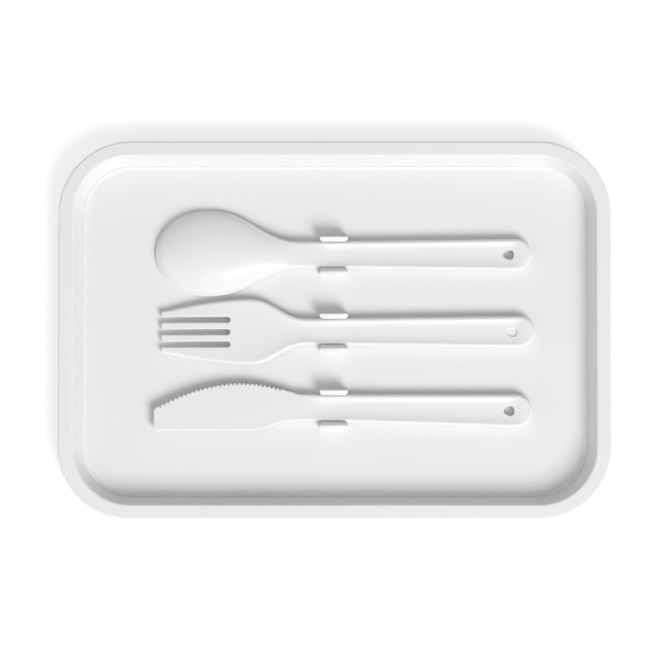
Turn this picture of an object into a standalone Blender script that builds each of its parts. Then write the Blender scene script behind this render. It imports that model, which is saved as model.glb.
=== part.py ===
"""Plastic cutlery pack: a moulded tray whose snap clips hold a spoon, a fork and a knife, backs up.

Units are metres. +X runs along the tray towards the handle ends, +Y towards the spoon, +Z up.
The origin is the middle of the tray's underside.
"""

import math

import bmesh
import bpy
import numpy as np

# Tray
FLOOR_THICKNESS = 0.0020
WELL_DEPTH = 0.0090
WALL_THICKNESS = 0.0018
WALL_DRAFT = 0.0030
RIM_WIDTH = 0.0052
RIM_THICKNESS = 0.0018
SKIRT_THICKNESS = 0.0018
SKIRT_LIFT = 0.0010
SKIRT_DRAFT = 0.0008
TRAY_CORNER_RADIUS = 0.0270
RIM_EDGE_RADIUS = 0.0006
WELL_EDGE_RADIUS = 0.0006
LEDGE_HEIGHT = 0.0008
LEDGE_WIDTH = 0.0004
FOOT_RADIUS = 0.0012
BASE_EDGE_RADIUS = 0.0006

# Free space between the cutlery and the tray's outer edge
LEFT_MARGIN = 0.0350
RIGHT_MARGIN = 0.0280
BACK_MARGIN = 0.0254
FRONT_MARGIN = 0.0329

# Fits
REST_GAP = 0.0003
CLIP_CLEARANCE = 0.0003
SPOON_FORK_SPACE = 0.0011
FORK_KNIFE_SPACE = 0.0065

# Handles
HANDLE_TOP = 0.0039
NECK_WIDTH = 0.0099
HANDLE_END_WIDTH = 0.0118
HANDLE_CAP_LENGTH = 0.0059
HANDLE_CAP_POWER = 2.0
HANDLE_EDGE_RADIUS = 0.0013
DISH_DEPTH = 0.0006
DISH_POWER = 2.5
DISH_RAMP = 0.0140
DISH_END_MARGIN = 0.0024
UNDER_EDGE_RADIUS = 0.0005

# Holes in the handle ends, shaped like a rounded triangle
HOLE_RADIUS = 0.0018
HOLE_POINT = 0.08
HOLE_STRETCH = 0.07
HOLE_TO_END = 0.0084
RECESS_DEPTH = 0.0005

# Spoon
SPOON_LENGTH = 0.1367
SPOON_TIP_SETBACK = 0.0006
BOWL_WIDTH = 0.0311
BOWL_OFFSET = 0.0006
BOWL_FRONT = 0.0186
BOWL_BACK = 0.0350
BOWL_RIM_THICKNESS = 0.0013
BOWL_DOME = 0.0056
BOWL_DOME_POWER = 0.62
BOWL_EDGE_RADIUS = 0.0003

# Fork
FORK_LENGTH = 0.1358
FORK_TIP_SETBACK = 0.0026
FORK_TIP_WIDTH = 0.0149
FORK_HEAD_WIDTH = 0.0239
FORK_HEAD_FRONT = 0.0314
FORK_HEAD_BACK = 0.0224
FORK_SIDE_POWER = 1.65
FORK_HEAD_THICKNESS = 0.0018
FORK_EDGE_RADIUS = 0.0006
FORK_CORNER_RADIUS = 0.0006
TINE_DROP = 0.0015
TINE_BEND = 0.0300
SLOT_COUNT = 3
SLOT_WIDTH = 0.0020
SLOT_PITCH = 0.00447
SLOT_LENGTH = 0.0251

# Knife
KNIFE_LENGTH = 0.1374
KNIFE_NOSE_HEIGHT = 0.0080
BLADE_HEIGHT = 0.0173
BLADE_PEAK = 0.0315
BELLY_POWER = 1.9
BLADE_LENGTH = 0.0517
BLADE_HEEL_HEIGHT = 0.01315
BLADE_BACK_STRAIGHT = 0.0340
BLADE_BACK_RISE = 0.0034
BLADE_THICKNESS = 0.0018
CUTTING_EDGE_THICKNESS = 0.0010
BLADE_EDGE_RADIUS = 0.0005
NOSE_CORNER_RADIUS = 0.0012
KNIFE_HANDLE_TAPER = 0.0026
TOOTH_PITCH = 0.00156
TOOTH_DEPTH = 0.0008
TEETH_START = 0.0014
TEETH_LENGTH = 0.04524

# Clips
CLIP_TO_NOSE = 0.0653
CLIP_LENGTH = 0.0102
HOOK_OVERLAP = 0.0004
HOOK_TIP_THICKNESS = 0.0005
HOOK_LEAD_IN = 0.0014
HOOK_CORNER = 0.0006
CLIP_THICKNESS = 0.0011
CLIP_DRAFT = 0.0005

# Fineness of the curves
CORNER_STEPS = 10
FILLET_STEPS = 3
FOOT_STEPS = 4
EDGE_STEPS = 3
ACROSS_STEPS = 8
CAP_STEPS = 7
HOLE_STEPS = 20
SLOT_ROOT_STEPS = 8
SHARP_ANGLE = math.radians(35.0)

# How far cutters reach past what they cut
CUT_MARGIN = 0.0010

# Most of a piece's thickness that its upper and lower edge rounding may take
UPPER_ROUND_SHARE = 0.55
LOWER_ROUND_SHARE = 0.30

# Finish
TRAY_COLOUR = (0.80, 0.80, 0.79)
CUTLERY_COLOUR = (0.81, 0.80, 0.79)
PLASTIC_ROUGHNESS = 0.28


def ease(t):
    """Smooth step from 0 to 1 with level ends: 6t^5 - 15t^4 + 10t^3, held flat outside 0..1."""
    t = np.clip(t, 0.0, 1.0)
    return t**3 * (10.0 - 15.0 * t + 6.0 * t**2)


def cap_share(x, length):
    """Share of the full handle width at x: 1 along the handle, falling to 0 round the end cap."""
    into = np.clip((x - (length - HANDLE_CAP_LENGTH)) / HANDLE_CAP_LENGTH, 0.0, 1.0)
    return np.maximum(1.0 - into**HANDLE_CAP_POWER, 0.0) ** (1.0 / HANDLE_CAP_POWER)


def corner_drop(x, radius):
    """How far a rounded corner of this radius lies inside the square corner, x from the end."""
    left = np.clip(1.0 - x / radius, 0.0, 1.0)
    return radius * (1.0 - np.sqrt(1.0 - left**2))


def handle_half_width(x, neck_at, length):
    """Half width of a handle that widens from the neck to its end cap."""
    widen = np.clip((x - neck_at) / (length - HANDLE_CAP_LENGTH - neck_at), 0.0, 1.0)
    return 0.5 * (NECK_WIDTH + (HANDLE_END_WIDTH - NECK_WIDTH) * widen)


def dish_share(x, start, length):
    """Share of the dish's depth at x: it deepens behind start and rises again before the end."""
    deepen = ease((x - start) / DISH_RAMP)
    rise = ease((length - DISH_END_MARGIN - x) / HANDLE_CAP_LENGTH)
    return deepen * rise


def spoon_edges(x):
    """Lower and upper edge of the spoon's plan: half an ellipse, an eased waist, then the handle."""
    neck_at = BOWL_FRONT + BOWL_BACK
    towards_bowl = 1.0 - ease((x - BOWL_FRONT) / BOWL_BACK)
    ahead = np.clip((BOWL_FRONT - x) / BOWL_FRONT, 0.0, 1.0)
    front = 0.5 * BOWL_WIDTH * np.sqrt(1.0 - ahead**2)
    handle = handle_half_width(x, neck_at, SPOON_LENGTH)
    waist = handle + (0.5 * BOWL_WIDTH - handle) * towards_bowl
    half = np.where(x < BOWL_FRONT, front, waist) * cap_share(x, SPOON_LENGTH)
    middle = BOWL_OFFSET * towards_bowl
    return middle - half, middle + half


def bowl_dome(x, s):
    """Height of the bowl over its rim: a flattened ellipsoid in front, eased out towards the neck."""
    ahead = np.clip((BOWL_FRONT - x) / BOWL_FRONT, 0.0, 1.0)
    along = np.where(x < BOWL_FRONT, 1.0 - ahead**2, 1.0 - ease((x - BOWL_FRONT) / BOWL_BACK))
    return BOWL_DOME * (np.maximum(along, 0.0) * (1.0 - s**2)) ** BOWL_DOME_POWER


def spoon_top(x, s):
    neck_at = BOWL_FRONT + BOWL_BACK
    rim = REST_GAP + BOWL_RIM_THICKNESS
    edge = rim + (HANDLE_TOP - rim) * ease((x - BOWL_FRONT) / BOWL_BACK)
    dish = DISH_DEPTH * dish_share(x, neck_at, SPOON_LENGTH) * (1.0 - np.abs(s) ** DISH_POWER)
    return edge + bowl_dome(x, s) - dish


def spoon_bottom(x, s):
    return REST_GAP + bowl_dome(x, s)


def spoon_radius(x, s):
    grow = ease((x - BOWL_FRONT) / BOWL_BACK)
    return BOWL_EDGE_RADIUS + (HANDLE_EDGE_RADIUS - BOWL_EDGE_RADIUS) * grow


def fork_edges(x):
    """Lower and upper edge of the fork's plan: flared tines, an eased waist, then the handle."""
    neck_at = FORK_HEAD_FRONT + FORK_HEAD_BACK
    ahead = np.clip((FORK_HEAD_FRONT - x) / FORK_HEAD_FRONT, 0.0, 1.0)
    flare = 0.5 * (FORK_HEAD_WIDTH - FORK_TIP_WIDTH) * ahead**FORK_SIDE_POWER
    handle = handle_half_width(x, neck_at, FORK_LENGTH)
    step = 1.0 - ease((x - FORK_HEAD_FRONT) / FORK_HEAD_BACK)
    waist = handle + (0.5 * FORK_HEAD_WIDTH - handle) * step
    half = np.where(x < FORK_HEAD_FRONT, 0.5 * FORK_HEAD_WIDTH - flare, waist)
    half = half * cap_share(x, FORK_LENGTH) - corner_drop(x, FORK_CORNER_RADIUS)
    return -half, half


def fork_edge_height(x):
    """Height of the fork's edge: level, with the tines bending down to the floor."""
    return HANDLE_TOP - TINE_DROP * np.clip(1.0 - x / TINE_BEND, 0.0, 1.0) ** 2


def fork_top(x, s):
    share = dish_share(x, SLOT_LENGTH - DISH_RAMP / 2.0, FORK_LENGTH)
    return fork_edge_height(x) - DISH_DEPTH * share * (1.0 - np.abs(s) ** DISH_POWER)


def fork_bottom(x, s):
    handle = HANDLE_TOP - REST_GAP
    grow = ease((x - FORK_HEAD_FRONT) / FORK_HEAD_BACK)
    return fork_edge_height(x) - FORK_HEAD_THICKNESS - (handle - FORK_HEAD_THICKNESS) * grow


def fork_radius(x, s):
    grow = ease((x - FORK_HEAD_FRONT) / FORK_HEAD_BACK)
    return FORK_EDGE_RADIUS + (HANDLE_EDGE_RADIUS - FORK_EDGE_RADIUS) * grow


def knife_back(x):
    """Lower edge of the knife: the blade's straight back, a rise to the neck, then the handle."""
    rise = BLADE_BACK_RISE * ease((x - BLADE_BACK_STRAIGHT) / (BLADE_LENGTH - BLADE_BACK_STRAIGHT))
    end = KNIFE_LENGTH - HANDLE_CAP_LENGTH
    taper = KNIFE_HANDLE_TAPER * np.clip((x - BLADE_LENGTH) / (end - BLADE_LENGTH), 0.0, 1.0)
    return rise - taper + corner_drop(x, NOSE_CORNER_RADIUS)


def knife_belly(x):
    """Height of the cutting edge over the straight back: an arch, then its tangent behind the teeth."""
    arch = BLADE_HEIGHT - KNIFE_NOSE_HEIGHT
    straight_from = TEETH_START + TEETH_LENGTH
    bent = np.minimum(x, straight_from)
    drop = arch * np.abs(bent / BLADE_PEAK - 1.0) ** BELLY_POWER
    behind = straight_from / BLADE_PEAK - 1.0
    slope = arch * BELLY_POWER * behind ** (BELLY_POWER - 1.0) / BLADE_PEAK
    return BLADE_HEIGHT - drop - slope * (x - bent)


def heel_at():
    """Where the cutting edge falls to the height of the handle's straight front."""
    straight_from = TEETH_START + TEETH_LENGTH
    height, lower = knife_belly(np.array([straight_from, straight_from + TOOTH_PITCH]))
    return straight_from + TOOTH_PITCH * (height - BLADE_HEEL_HEIGHT) / (height - lower)


def knife_front(x):
    """Upper edge of the knife without its teeth: the belly as far as the heel, then the straight front."""
    front = np.where(x < heel_at(), knife_belly(x), BLADE_HEEL_HEIGHT)
    return front - corner_drop(x, NOSE_CORNER_RADIUS)


def teeth(x):
    """Depth of the serration at x: a row of valleys between peaks one pitch apart."""
    phase = (x - TEETH_START) / TOOTH_PITCH
    inside = (x > TEETH_START) & (x < TEETH_START + TEETH_LENGTH)
    return np.where(inside, TOOTH_DEPTH * (0.5 - 0.5 * np.cos(2.0 * math.pi * phase)), 0.0)


def knife_edges(x):
    """Lower and upper edge of the knife's plan, closed round the handle's end cap."""
    low, high = knife_back(x), knife_front(x) - teeth(x)
    middle, half = 0.5 * (low + high), 0.5 * (high - low) * cap_share(x, KNIFE_LENGTH)
    return middle - half, middle + half


def knife_top(x, s):
    share = dish_share(x, BLADE_LENGTH, KNIFE_LENGTH)
    return HANDLE_TOP - DISH_DEPTH * share * (1.0 - np.abs(s) ** DISH_POWER)


def knife_bottom(x, s):
    """Underside of the knife: the blade thins towards its cutting edge, the handle is full depth."""
    blade = 0.5 * (BLADE_THICKNESS + CUTTING_EDGE_THICKNESS)
    blade = blade - 0.5 * (BLADE_THICKNESS - CUTTING_EDGE_THICKNESS) * s
    grow = ease((x - BLADE_BACK_STRAIGHT) / (BLADE_LENGTH - BLADE_BACK_STRAIGHT))
    return HANDLE_TOP - blade - (HANDLE_TOP - REST_GAP - blade) * grow


def knife_radius(x, s):
    grow = ease((x - BLADE_BACK_STRAIGHT) / (BLADE_LENGTH - BLADE_BACK_STRAIGHT))
    return BLADE_EDGE_RADIUS + (HANDLE_EDGE_RADIUS - BLADE_EDGE_RADIUS) * grow


def cap_stations(length):
    """Stations round the handle's end cap, closer together towards its end."""
    turn = np.linspace(0.0, 0.5 * math.pi, CAP_STEPS + 1)
    return length - HANDLE_CAP_LENGTH * (1.0 - np.sin(turn))


def stations_along(parts):
    """One rising list of stations from several, without near repeats."""
    x = np.sort(np.concatenate(parts))
    return x[np.concatenate([[True], np.diff(x) > 0.00005])]


def moulding(name, x, edges, top, bottom, radius, material):
    """One closed moulding over a plan that is given by its lower and upper edges at the stations x.

    Its upper and lower faces are grids of heights, and a quarter round joins each to the side.
    """
    low, high = edges(x)
    across = np.linspace(0.0, 1.0, ACROSS_STEPS + 1)
    y = low[:, None] + (high - low)[:, None] * across
    last, side = len(x) - 1, ACROSS_STEPS
    walk = [(i, 0) for i in range(last)] + [(last, j) for j in range(side)]
    walk += [(i, side) for i in range(last, 0, -1)] + [(0, j) for j in range(side, 0, -1)]
    closed_ends = [i for i in (0, last) if high[i] - low[i] < 1e-6]
    walk = [(i, j) for i, j in walk if i not in closed_ends or j == (0 if i else side)]
    rows, columns = np.array(walk).T
    loop = np.stack([x[rows], y[rows, columns]], axis=1)
    along = np.roll(loop, -1, axis=0) - np.roll(loop, 1, axis=0)
    outward = np.stack([along[:, 1], -along[:, 0]], axis=1)
    outward /= np.linalg.norm(outward, axis=1)[:, None]
    share = 2.0 * across[columns] - 1.0
    upper, lower = top(x[rows], share), bottom(x[rows], share)
    round_top = np.minimum(radius(x[rows], share), UPPER_ROUND_SHARE * (upper - lower))
    round_low = np.minimum(UNDER_EDGE_RADIUS, LOWER_ROUND_SHARE * (upper - lower))

    mesh = bmesh.new()
    rings = []
    for k in range(EDGE_STEPS + 1):
        turn = 0.5 * math.pi * k / EDGE_STEPS
        place = loop - outward * (round_top * (1.0 - math.sin(turn)))[:, None]
        rings.append((place, upper - round_top * (1.0 - math.cos(turn))))
    for k in range(EDGE_STEPS, -1, -1):
        turn = 0.5 * math.pi * k / EDGE_STEPS
        place = loop - outward * (round_low * (1.0 - math.sin(turn)))[:, None]
        rings.append((place, lower + round_low * (1.0 - math.cos(turn))))
    loops = [
        [mesh.verts.new((px, py, pz)) for (px, py), pz in zip(place, height)]
        for place, height in rings
    ]
    count = len(walk)
    for first, second in zip(loops, loops[1:]):
        for k in range(count):
            mesh.faces.new((first[k], second[k], second[(k + 1) % count], first[(k + 1) % count]))

    for ring, height, flip in ((0, top, False), (-1, bottom, True)):
        grid = face_grid(mesh, walk, rings[ring][0], loops[ring], x, across, height, closed_ends)
        for i in range(last):
            for j in range(side):
                corners = [grid[i][j], grid[i + 1][j], grid[i + 1][j + 1], grid[i][j + 1]]
                corners = list(dict.fromkeys(corners))
                mesh.faces.new(corners[::-1] if flip else corners)
    return finish(name, mesh, material)


def face_grid(mesh, walk, places, verts, x, across, height, closed_ends):
    """Vertices of a face's grid: the edge ring round it, and points between opposite edges inside."""
    last, side = len(x) - 1, len(across) - 1
    ring = {spot: k for k, spot in enumerate(walk)}
    grid = [[None] * (side + 1) for _ in range(last + 1)]
    for i in range(last + 1):
        if i in closed_ends:
            grid[i] = [verts[ring[(i, 0 if i else side)]]] * (side + 1)
            continue
        start, end = places[ring[(i, 0)]], places[ring[(i, side)]]
        for j in range(side + 1):
            if (i, j) in ring:
                grid[i][j] = verts[ring[(i, j)]]
                continue
            px, py = start + (end - start) * across[j]
            pz = float(height(x[i], 2.0 * across[j] - 1.0))
            grid[i][j] = mesh.verts.new((px, py, pz))
    return grid


def finish(name, mesh, material):
    """Turns a bmesh into an object with outward faces, smooth where it is round."""
    bmesh.ops.recalc_face_normals(mesh, faces=mesh.faces)
    data = bpy.data.meshes.new(name)
    mesh.to_mesh(data)
    mesh.free()
    data.shade_smooth()
    data.set_sharp_from_angle(angle=SHARP_ANGLE)
    obj = bpy.data.objects.new(name, data)
    bpy.context.scene.collection.objects.link(obj)
    if material is not None:
        data.materials.append(material)
    return obj


def gloss_white(name, colour):
    """Glossy opaque plastic in one colour."""
    material = bpy.data.materials.new(name)
    material.use_nodes = True
    shader = material.node_tree.nodes["Principled BSDF"]
    shader.inputs["Base Color"].default_value = (*colour, 1.0)
    shader.inputs["Roughness"].default_value = PLASTIC_ROUGHNESS
    shader.inputs["Metallic"].default_value = 0.0
    return material


def fillet(before, corner, after, radius, steps):
    """Points of an arc of this radius that rounds the corner between two straight lines."""
    corner = np.array(corner)
    one, two = np.array(before) - corner, np.array(after) - corner
    one, two = one / np.linalg.norm(one), two / np.linalg.norm(two)
    half = 0.5 * math.acos(np.clip(one @ two, -1.0, 1.0))
    centre = corner + (one + two) / np.linalg.norm(one + two) * radius / math.sin(half)
    start = corner + one * radius / math.tan(half) - centre
    end = corner + two * radius / math.tan(half) - centre
    sweep = math.pi - 2.0 * half
    return [
        centre + (start * math.sin(sweep * (1.0 - t)) + end * math.sin(sweep * t)) / math.sin(sweep)
        for t in np.linspace(0.0, 1.0, steps + 1)
    ]


def rounded_rectangle(length, width, radius):
    """Corner arcs of a rounded rectangle round the origin, anticlockwise from +X."""
    points = []
    for quarter in range(4):
        sign_x = 1.0 if quarter in (0, 3) else -1.0
        sign_y = 1.0 if quarter in (0, 1) else -1.0
        centre = (sign_x * (0.5 * length - radius), sign_y * (0.5 * width - radius))
        for k in range(CORNER_STEPS + 1):
            turn = 0.5 * math.pi * (quarter + k / CORNER_STEPS)
            points.append(
                (centre[0] + radius * math.cos(turn), centre[1] + radius * math.sin(turn))
            )
    return points


def foot_curve(ledge_end, floor):
    """Hollow curve from the floor up to the ledge: part of a circle that is level where it meets the floor."""
    most = math.acos(1.0 - LEDGE_HEIGHT / FOOT_RADIUS)
    level_at = ledge_end + FOOT_RADIUS * math.sin(most)
    return [
        (level_at - FOOT_RADIUS * math.sin(turn), floor + FOOT_RADIUS * (1.0 - math.cos(turn)))
        for turn in np.linspace(0.0, most, FOOT_STEPS + 1)
    ]


def tray_section():
    """The tray's section as (inset from the skirt's foot, height), from the floor round to the base."""
    floor, rim = FLOOR_THICKNESS, FLOOR_THICKNESS + WELL_DEPTH
    ledge = floor + LEDGE_HEIGHT
    edge, wall_top = SKIRT_DRAFT, SKIRT_DRAFT + RIM_WIDTH
    wall_foot = wall_top + WALL_DRAFT
    wall_slope = WALL_DRAFT / (rim - ledge)
    wall_across = WALL_THICKNESS * math.hypot(1.0, wall_slope)
    skirt_slope = SKIRT_DRAFT / (rim - SKIRT_LIFT)

    def wall_back(height):
        return wall_top + wall_slope * (rim - height) - wall_across

    roof = rim - RIM_THICKNESS
    corners = [
        ((wall_foot, ledge), 0.0),
        ((wall_top, rim), WELL_EDGE_RADIUS),
        ((edge, rim), RIM_EDGE_RADIUS),
        ((0.0, SKIRT_LIFT), 0.0),
        ((SKIRT_THICKNESS, SKIRT_LIFT), 0.0),
        ((SKIRT_THICKNESS + skirt_slope * (roof - SKIRT_LIFT), roof), 0.0),
        ((wall_back(roof), roof), 0.0),
        ((wall_back(0.0), 0.0), BASE_EDGE_RADIUS),
        ((wall_back(0.0) + 2.0 * BASE_EDGE_RADIUS, 0.0), 0.0),
    ]
    section = foot_curve(wall_foot + LEDGE_WIDTH, floor)
    for k, (corner, radius) in enumerate(corners):
        if radius == 0.0:
            section.append(corner)
            continue
        before, after = corners[k - 1][0], corners[k + 1][0]
        section += fillet(before, corner, after, radius, FILLET_STEPS)
    return section


def tray_shell(length, width, material):
    """The tray without its clips: the section carried round a rounded rectangle, floor and base closed."""
    mesh = bmesh.new()
    loops = []
    for inset, height in tray_section():
        outline = rounded_rectangle(
            length - 2.0 * inset, width - 2.0 * inset, TRAY_CORNER_RADIUS - inset
        )
        loops.append([mesh.verts.new((px, py, height)) for px, py in outline])
    count = len(loops[0])
    for first, second in zip(loops, loops[1:]):
        for k in range(count):
            mesh.faces.new((first[k], second[k], second[(k + 1) % count], first[(k + 1) % count]))
    mesh.faces.new(loops[0])
    mesh.faces.new(loops[-1][::-1])
    return finish("tray", mesh, material)


def add_clip(mesh, middle_x, edge_y, side):
    """One snap clip in the tray's frame: a post with a hook over the handle's edge and a lead-in slope."""
    floor = FLOOR_THICKNESS
    under = floor + HANDLE_TOP + CLIP_CLEARANCE
    slope_foot = under + HOOK_TIP_THICKNESS
    back = CLIP_CLEARANCE + CLIP_THICKNESS
    section = [
        (CLIP_CLEARANCE, 0.5 * floor, 0.0),
        (CLIP_CLEARANCE, under, 0.0),
        (-HOOK_OVERLAP, under, HOOK_CORNER),
        (-HOOK_OVERLAP, slope_foot, HOOK_CORNER),
        (-HOOK_OVERLAP + HOOK_LEAD_IN, slope_foot + HOOK_LEAD_IN, 0.0),
        (back, slope_foot + HOOK_LEAD_IN, 0.0),
        (back + CLIP_DRAFT, 0.5 * floor, 0.0),
    ]
    ends = []
    for end in (-1.0, 1.0):
        ends.append(
            [
                mesh.verts.new(
                    (middle_x + end * (0.5 * CLIP_LENGTH - narrow), edge_y + side * out, height)
                )
                for out, height, narrow in section
            ]
        )
    mesh.faces.new(ends[0])
    mesh.faces.new(ends[1][::-1])
    for k in range(len(section)):
        following = (k + 1) % len(section)
        mesh.faces.new((ends[0][k], ends[1][k], ends[1][following], ends[0][following]))


def cutter(name, outline, low, high):
    """An upright prism that only cuts: hidden in renders and drawn as wire."""
    mesh = bmesh.new()
    base = [mesh.verts.new((px, py, low)) for px, py in outline]
    roof = [mesh.verts.new((px, py, high)) for px, py in outline]
    mesh.faces.new(base[::-1])
    mesh.faces.new(roof)
    for k in range(len(outline)):
        following = (k + 1) % len(outline)
        mesh.faces.new((base[k], base[following], roof[following], roof[k]))
    tool = finish(name, mesh, None)
    tool.hide_render = True
    tool.display_type = "WIRE"
    return tool


def combine(obj, tool, operation):
    """Joins or cuts obj with the tool, which moves with it."""
    modifier = obj.modifiers.new(tool.name, "BOOLEAN")
    modifier.operation = operation
    modifier.object = tool


def hole_outline(middle_x, middle_y):
    """Rounded triangle, longer than wide, with one point towards the head."""
    points = []
    for k in range(HOLE_STEPS):
        turn = 2.0 * math.pi * k / HOLE_STEPS
        swell = HOLE_STRETCH * math.cos(2.0 * turn) - HOLE_POINT * math.cos(3.0 * turn)
        reach = HOLE_RADIUS * (1.0 + swell)
        points.append((middle_x + reach * math.cos(turn), middle_y + reach * math.sin(turn)))
    return points


def cut_hole(obj, edges, length, low):
    """Cuts the handle's hole, from above down to the height low."""
    at = length - HOLE_TO_END
    edge_low, edge_high = edges(np.array([at]))
    outline = hole_outline(at, 0.5 * float(edge_low[0] + edge_high[0]))
    tool = cutter(obj.name + "_hole_cutter", outline, low, HANDLE_TOP + CUT_MARGIN)
    tool.parent = obj
    combine(obj, tool, "DIFFERENCE")


def cut_slots(obj):
    """Cuts the slots between the fork's tines, each with a rounded root."""
    half = 0.5 * SLOT_WIDTH
    for k in range(SLOT_COUNT):
        middle = (k - 0.5 * (SLOT_COUNT - 1)) * SLOT_PITCH
        outline = [(-CUT_MARGIN, middle - half)]
        for step in range(SLOT_ROOT_STEPS + 1):
            turn = math.pi * (step / SLOT_ROOT_STEPS - 0.5)
            outline.append(
                (SLOT_LENGTH - half + half * math.cos(turn), middle + half * math.sin(turn))
            )
        outline.append((-CUT_MARGIN, middle + half))
        tool = cutter(f"fork_slot_cutter_{k + 1}", outline, -CUT_MARGIN, HANDLE_TOP + CUT_MARGIN)
        tool.parent = obj
        combine(obj, tool, "DIFFERENCE")


def build_spoon(material):
    neck_at = BOWL_FRONT + BOWL_BACK
    turn = np.linspace(0.0, 0.5 * math.pi, 9)
    x = stations_along(
        [
            BOWL_FRONT * (1.0 - np.cos(turn)),
            np.linspace(BOWL_FRONT, neck_at, 13),
            np.linspace(neck_at, SPOON_LENGTH - HANDLE_CAP_LENGTH, 10),
            cap_stations(SPOON_LENGTH),
        ]
    )
    spoon = moulding("spoon", x, spoon_edges, spoon_top, spoon_bottom, spoon_radius, material)
    cut_hole(spoon, spoon_edges, SPOON_LENGTH, -CUT_MARGIN)
    return spoon


def build_fork(material):
    neck_at = FORK_HEAD_FRONT + FORK_HEAD_BACK
    x = stations_along(
        [
            FORK_CORNER_RADIUS * np.array([0.0, 0.15, 0.5]),
            np.linspace(FORK_CORNER_RADIUS, FORK_HEAD_FRONT, 9),
            np.linspace(FORK_HEAD_FRONT, neck_at, 11),
            np.linspace(neck_at, FORK_LENGTH - HANDLE_CAP_LENGTH, 10),
            cap_stations(FORK_LENGTH),
        ]
    )
    fork = moulding("fork", x, fork_edges, fork_top, fork_bottom, fork_radius, material)
    cut_slots(fork)
    cut_hole(fork, fork_edges, FORK_LENGTH, HANDLE_TOP - DISH_DEPTH - RECESS_DEPTH)
    return fork


def build_knife(material):
    tooth_steps = 2 * round(TEETH_LENGTH / TOOTH_PITCH)
    x = stations_along(
        [
            NOSE_CORNER_RADIUS * np.array([0.0, 0.15, 0.5]),
            TEETH_START + 0.5 * TOOTH_PITCH * np.arange(tooth_steps + 1),
            np.linspace(TEETH_START + TEETH_LENGTH, heel_at(), 5),
            np.linspace(heel_at(), KNIFE_LENGTH - HANDLE_CAP_LENGTH, 12),
            cap_stations(KNIFE_LENGTH),
        ]
    )
    knife = moulding("knife", x, knife_edges, knife_top, knife_bottom, knife_radius, material)
    cut_hole(knife, knife_edges, KNIFE_LENGTH, -CUT_MARGIN)
    return knife


def main():
    for obj in list(bpy.data.objects):
        bpy.data.objects.remove(obj, do_unlink=True)

    reach = max(SPOON_TIP_SETBACK + SPOON_LENGTH, FORK_TIP_SETBACK + FORK_LENGTH, KNIFE_LENGTH)
    tray_length = LEFT_MARGIN + reach + RIGHT_MARGIN
    nose_x = -0.5 * tray_length + LEFT_MARGIN
    blade_top_to_fork = FORK_KNIFE_SPACE + 0.5 * FORK_HEAD_WIDTH
    fork_to_spoon = 0.5 * FORK_HEAD_WIDTH + SPOON_FORK_SPACE + 0.5 * BOWL_WIDTH
    front_to_fork = FRONT_MARGIN + BLADE_HEIGHT + blade_top_to_fork
    tray_width = front_to_fork + fork_to_spoon + 0.5 * BOWL_WIDTH + BACK_MARGIN
    fork_y = -0.5 * tray_width + front_to_fork

    spoon = build_spoon(gloss_white("spoon_plastic", CUTLERY_COLOUR))
    spoon_y = fork_y + fork_to_spoon - BOWL_OFFSET
    spoon.location = (nose_x + SPOON_TIP_SETBACK, spoon_y, FLOOR_THICKNESS)
    fork = build_fork(gloss_white("fork_plastic", CUTLERY_COLOUR))
    fork.location = (nose_x + FORK_TIP_SETBACK, fork_y, FLOOR_THICKNESS)
    knife = build_knife(gloss_white("knife_plastic", CUTLERY_COLOUR))
    knife.location = (nose_x, fork_y - blade_top_to_fork - BLADE_HEIGHT, FLOOR_THICKNESS)

    tray = tray_shell(tray_length, tray_width, gloss_white("tray_plastic", TRAY_COLOUR))
    clips = bmesh.new()
    clip_x = nose_x + CLIP_TO_NOSE
    for piece, edges in ((spoon, spoon_edges), (fork, fork_edges), (knife, knife_edges)):
        span = clip_x - piece.location.x + 0.5 * CLIP_LENGTH * np.array([-1.0, 0.0, 1.0])
        low, high = edges(span)
        add_clip(clips, clip_x, piece.location.y + low.min(), -1.0)
        add_clip(clips, clip_x, piece.location.y + high.max(), 1.0)
    clip_stock = finish("clip_stock", clips, None)
    clip_stock.hide_render = True
    clip_stock.display_type = "WIRE"
    clip_stock.parent = tray
    combine(tray, clip_stock, "UNION")


main()
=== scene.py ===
"""Looks of the plastic cutlery pack: a glossy white tray that holds a spoon, a fork and a knife in its clips.

The file is laid out as an add-on and is run as a script. Every piece is a surface worked out with numpy in
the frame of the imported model: metres, +X towards the handle ends, +Y towards the spoon, +Z up. The cutlery
lies backs up. In the functions of one piece, x runs from its tip towards its handle end, y goes towards the
spoon's side of the tray, and heights are measured from the tray's floor.
"""

import math

import bmesh
import bpy
import numpy as np
from bpy.props import FloatProperty, FloatVectorProperty, IntProperty, PointerProperty
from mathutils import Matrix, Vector


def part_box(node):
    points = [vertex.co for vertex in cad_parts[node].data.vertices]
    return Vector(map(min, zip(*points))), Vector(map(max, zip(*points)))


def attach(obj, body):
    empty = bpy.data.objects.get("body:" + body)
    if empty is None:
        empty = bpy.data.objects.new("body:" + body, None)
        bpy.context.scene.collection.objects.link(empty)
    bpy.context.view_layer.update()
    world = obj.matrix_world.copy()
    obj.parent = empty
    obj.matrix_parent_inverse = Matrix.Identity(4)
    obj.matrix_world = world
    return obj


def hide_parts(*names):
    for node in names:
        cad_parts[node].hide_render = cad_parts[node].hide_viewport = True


bl_info = {
    "name": "Plastic Cutlery Pack",
    "version": (1, 0, 0),
    "blender": (4, 5, 0),
    "location": "View3D > Sidebar > Cutlery Pack",
    "description": "Builds the looks of a tray with clipped-in plastic cutlery round its packed frame",
    "category": "Add Mesh",
}

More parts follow.
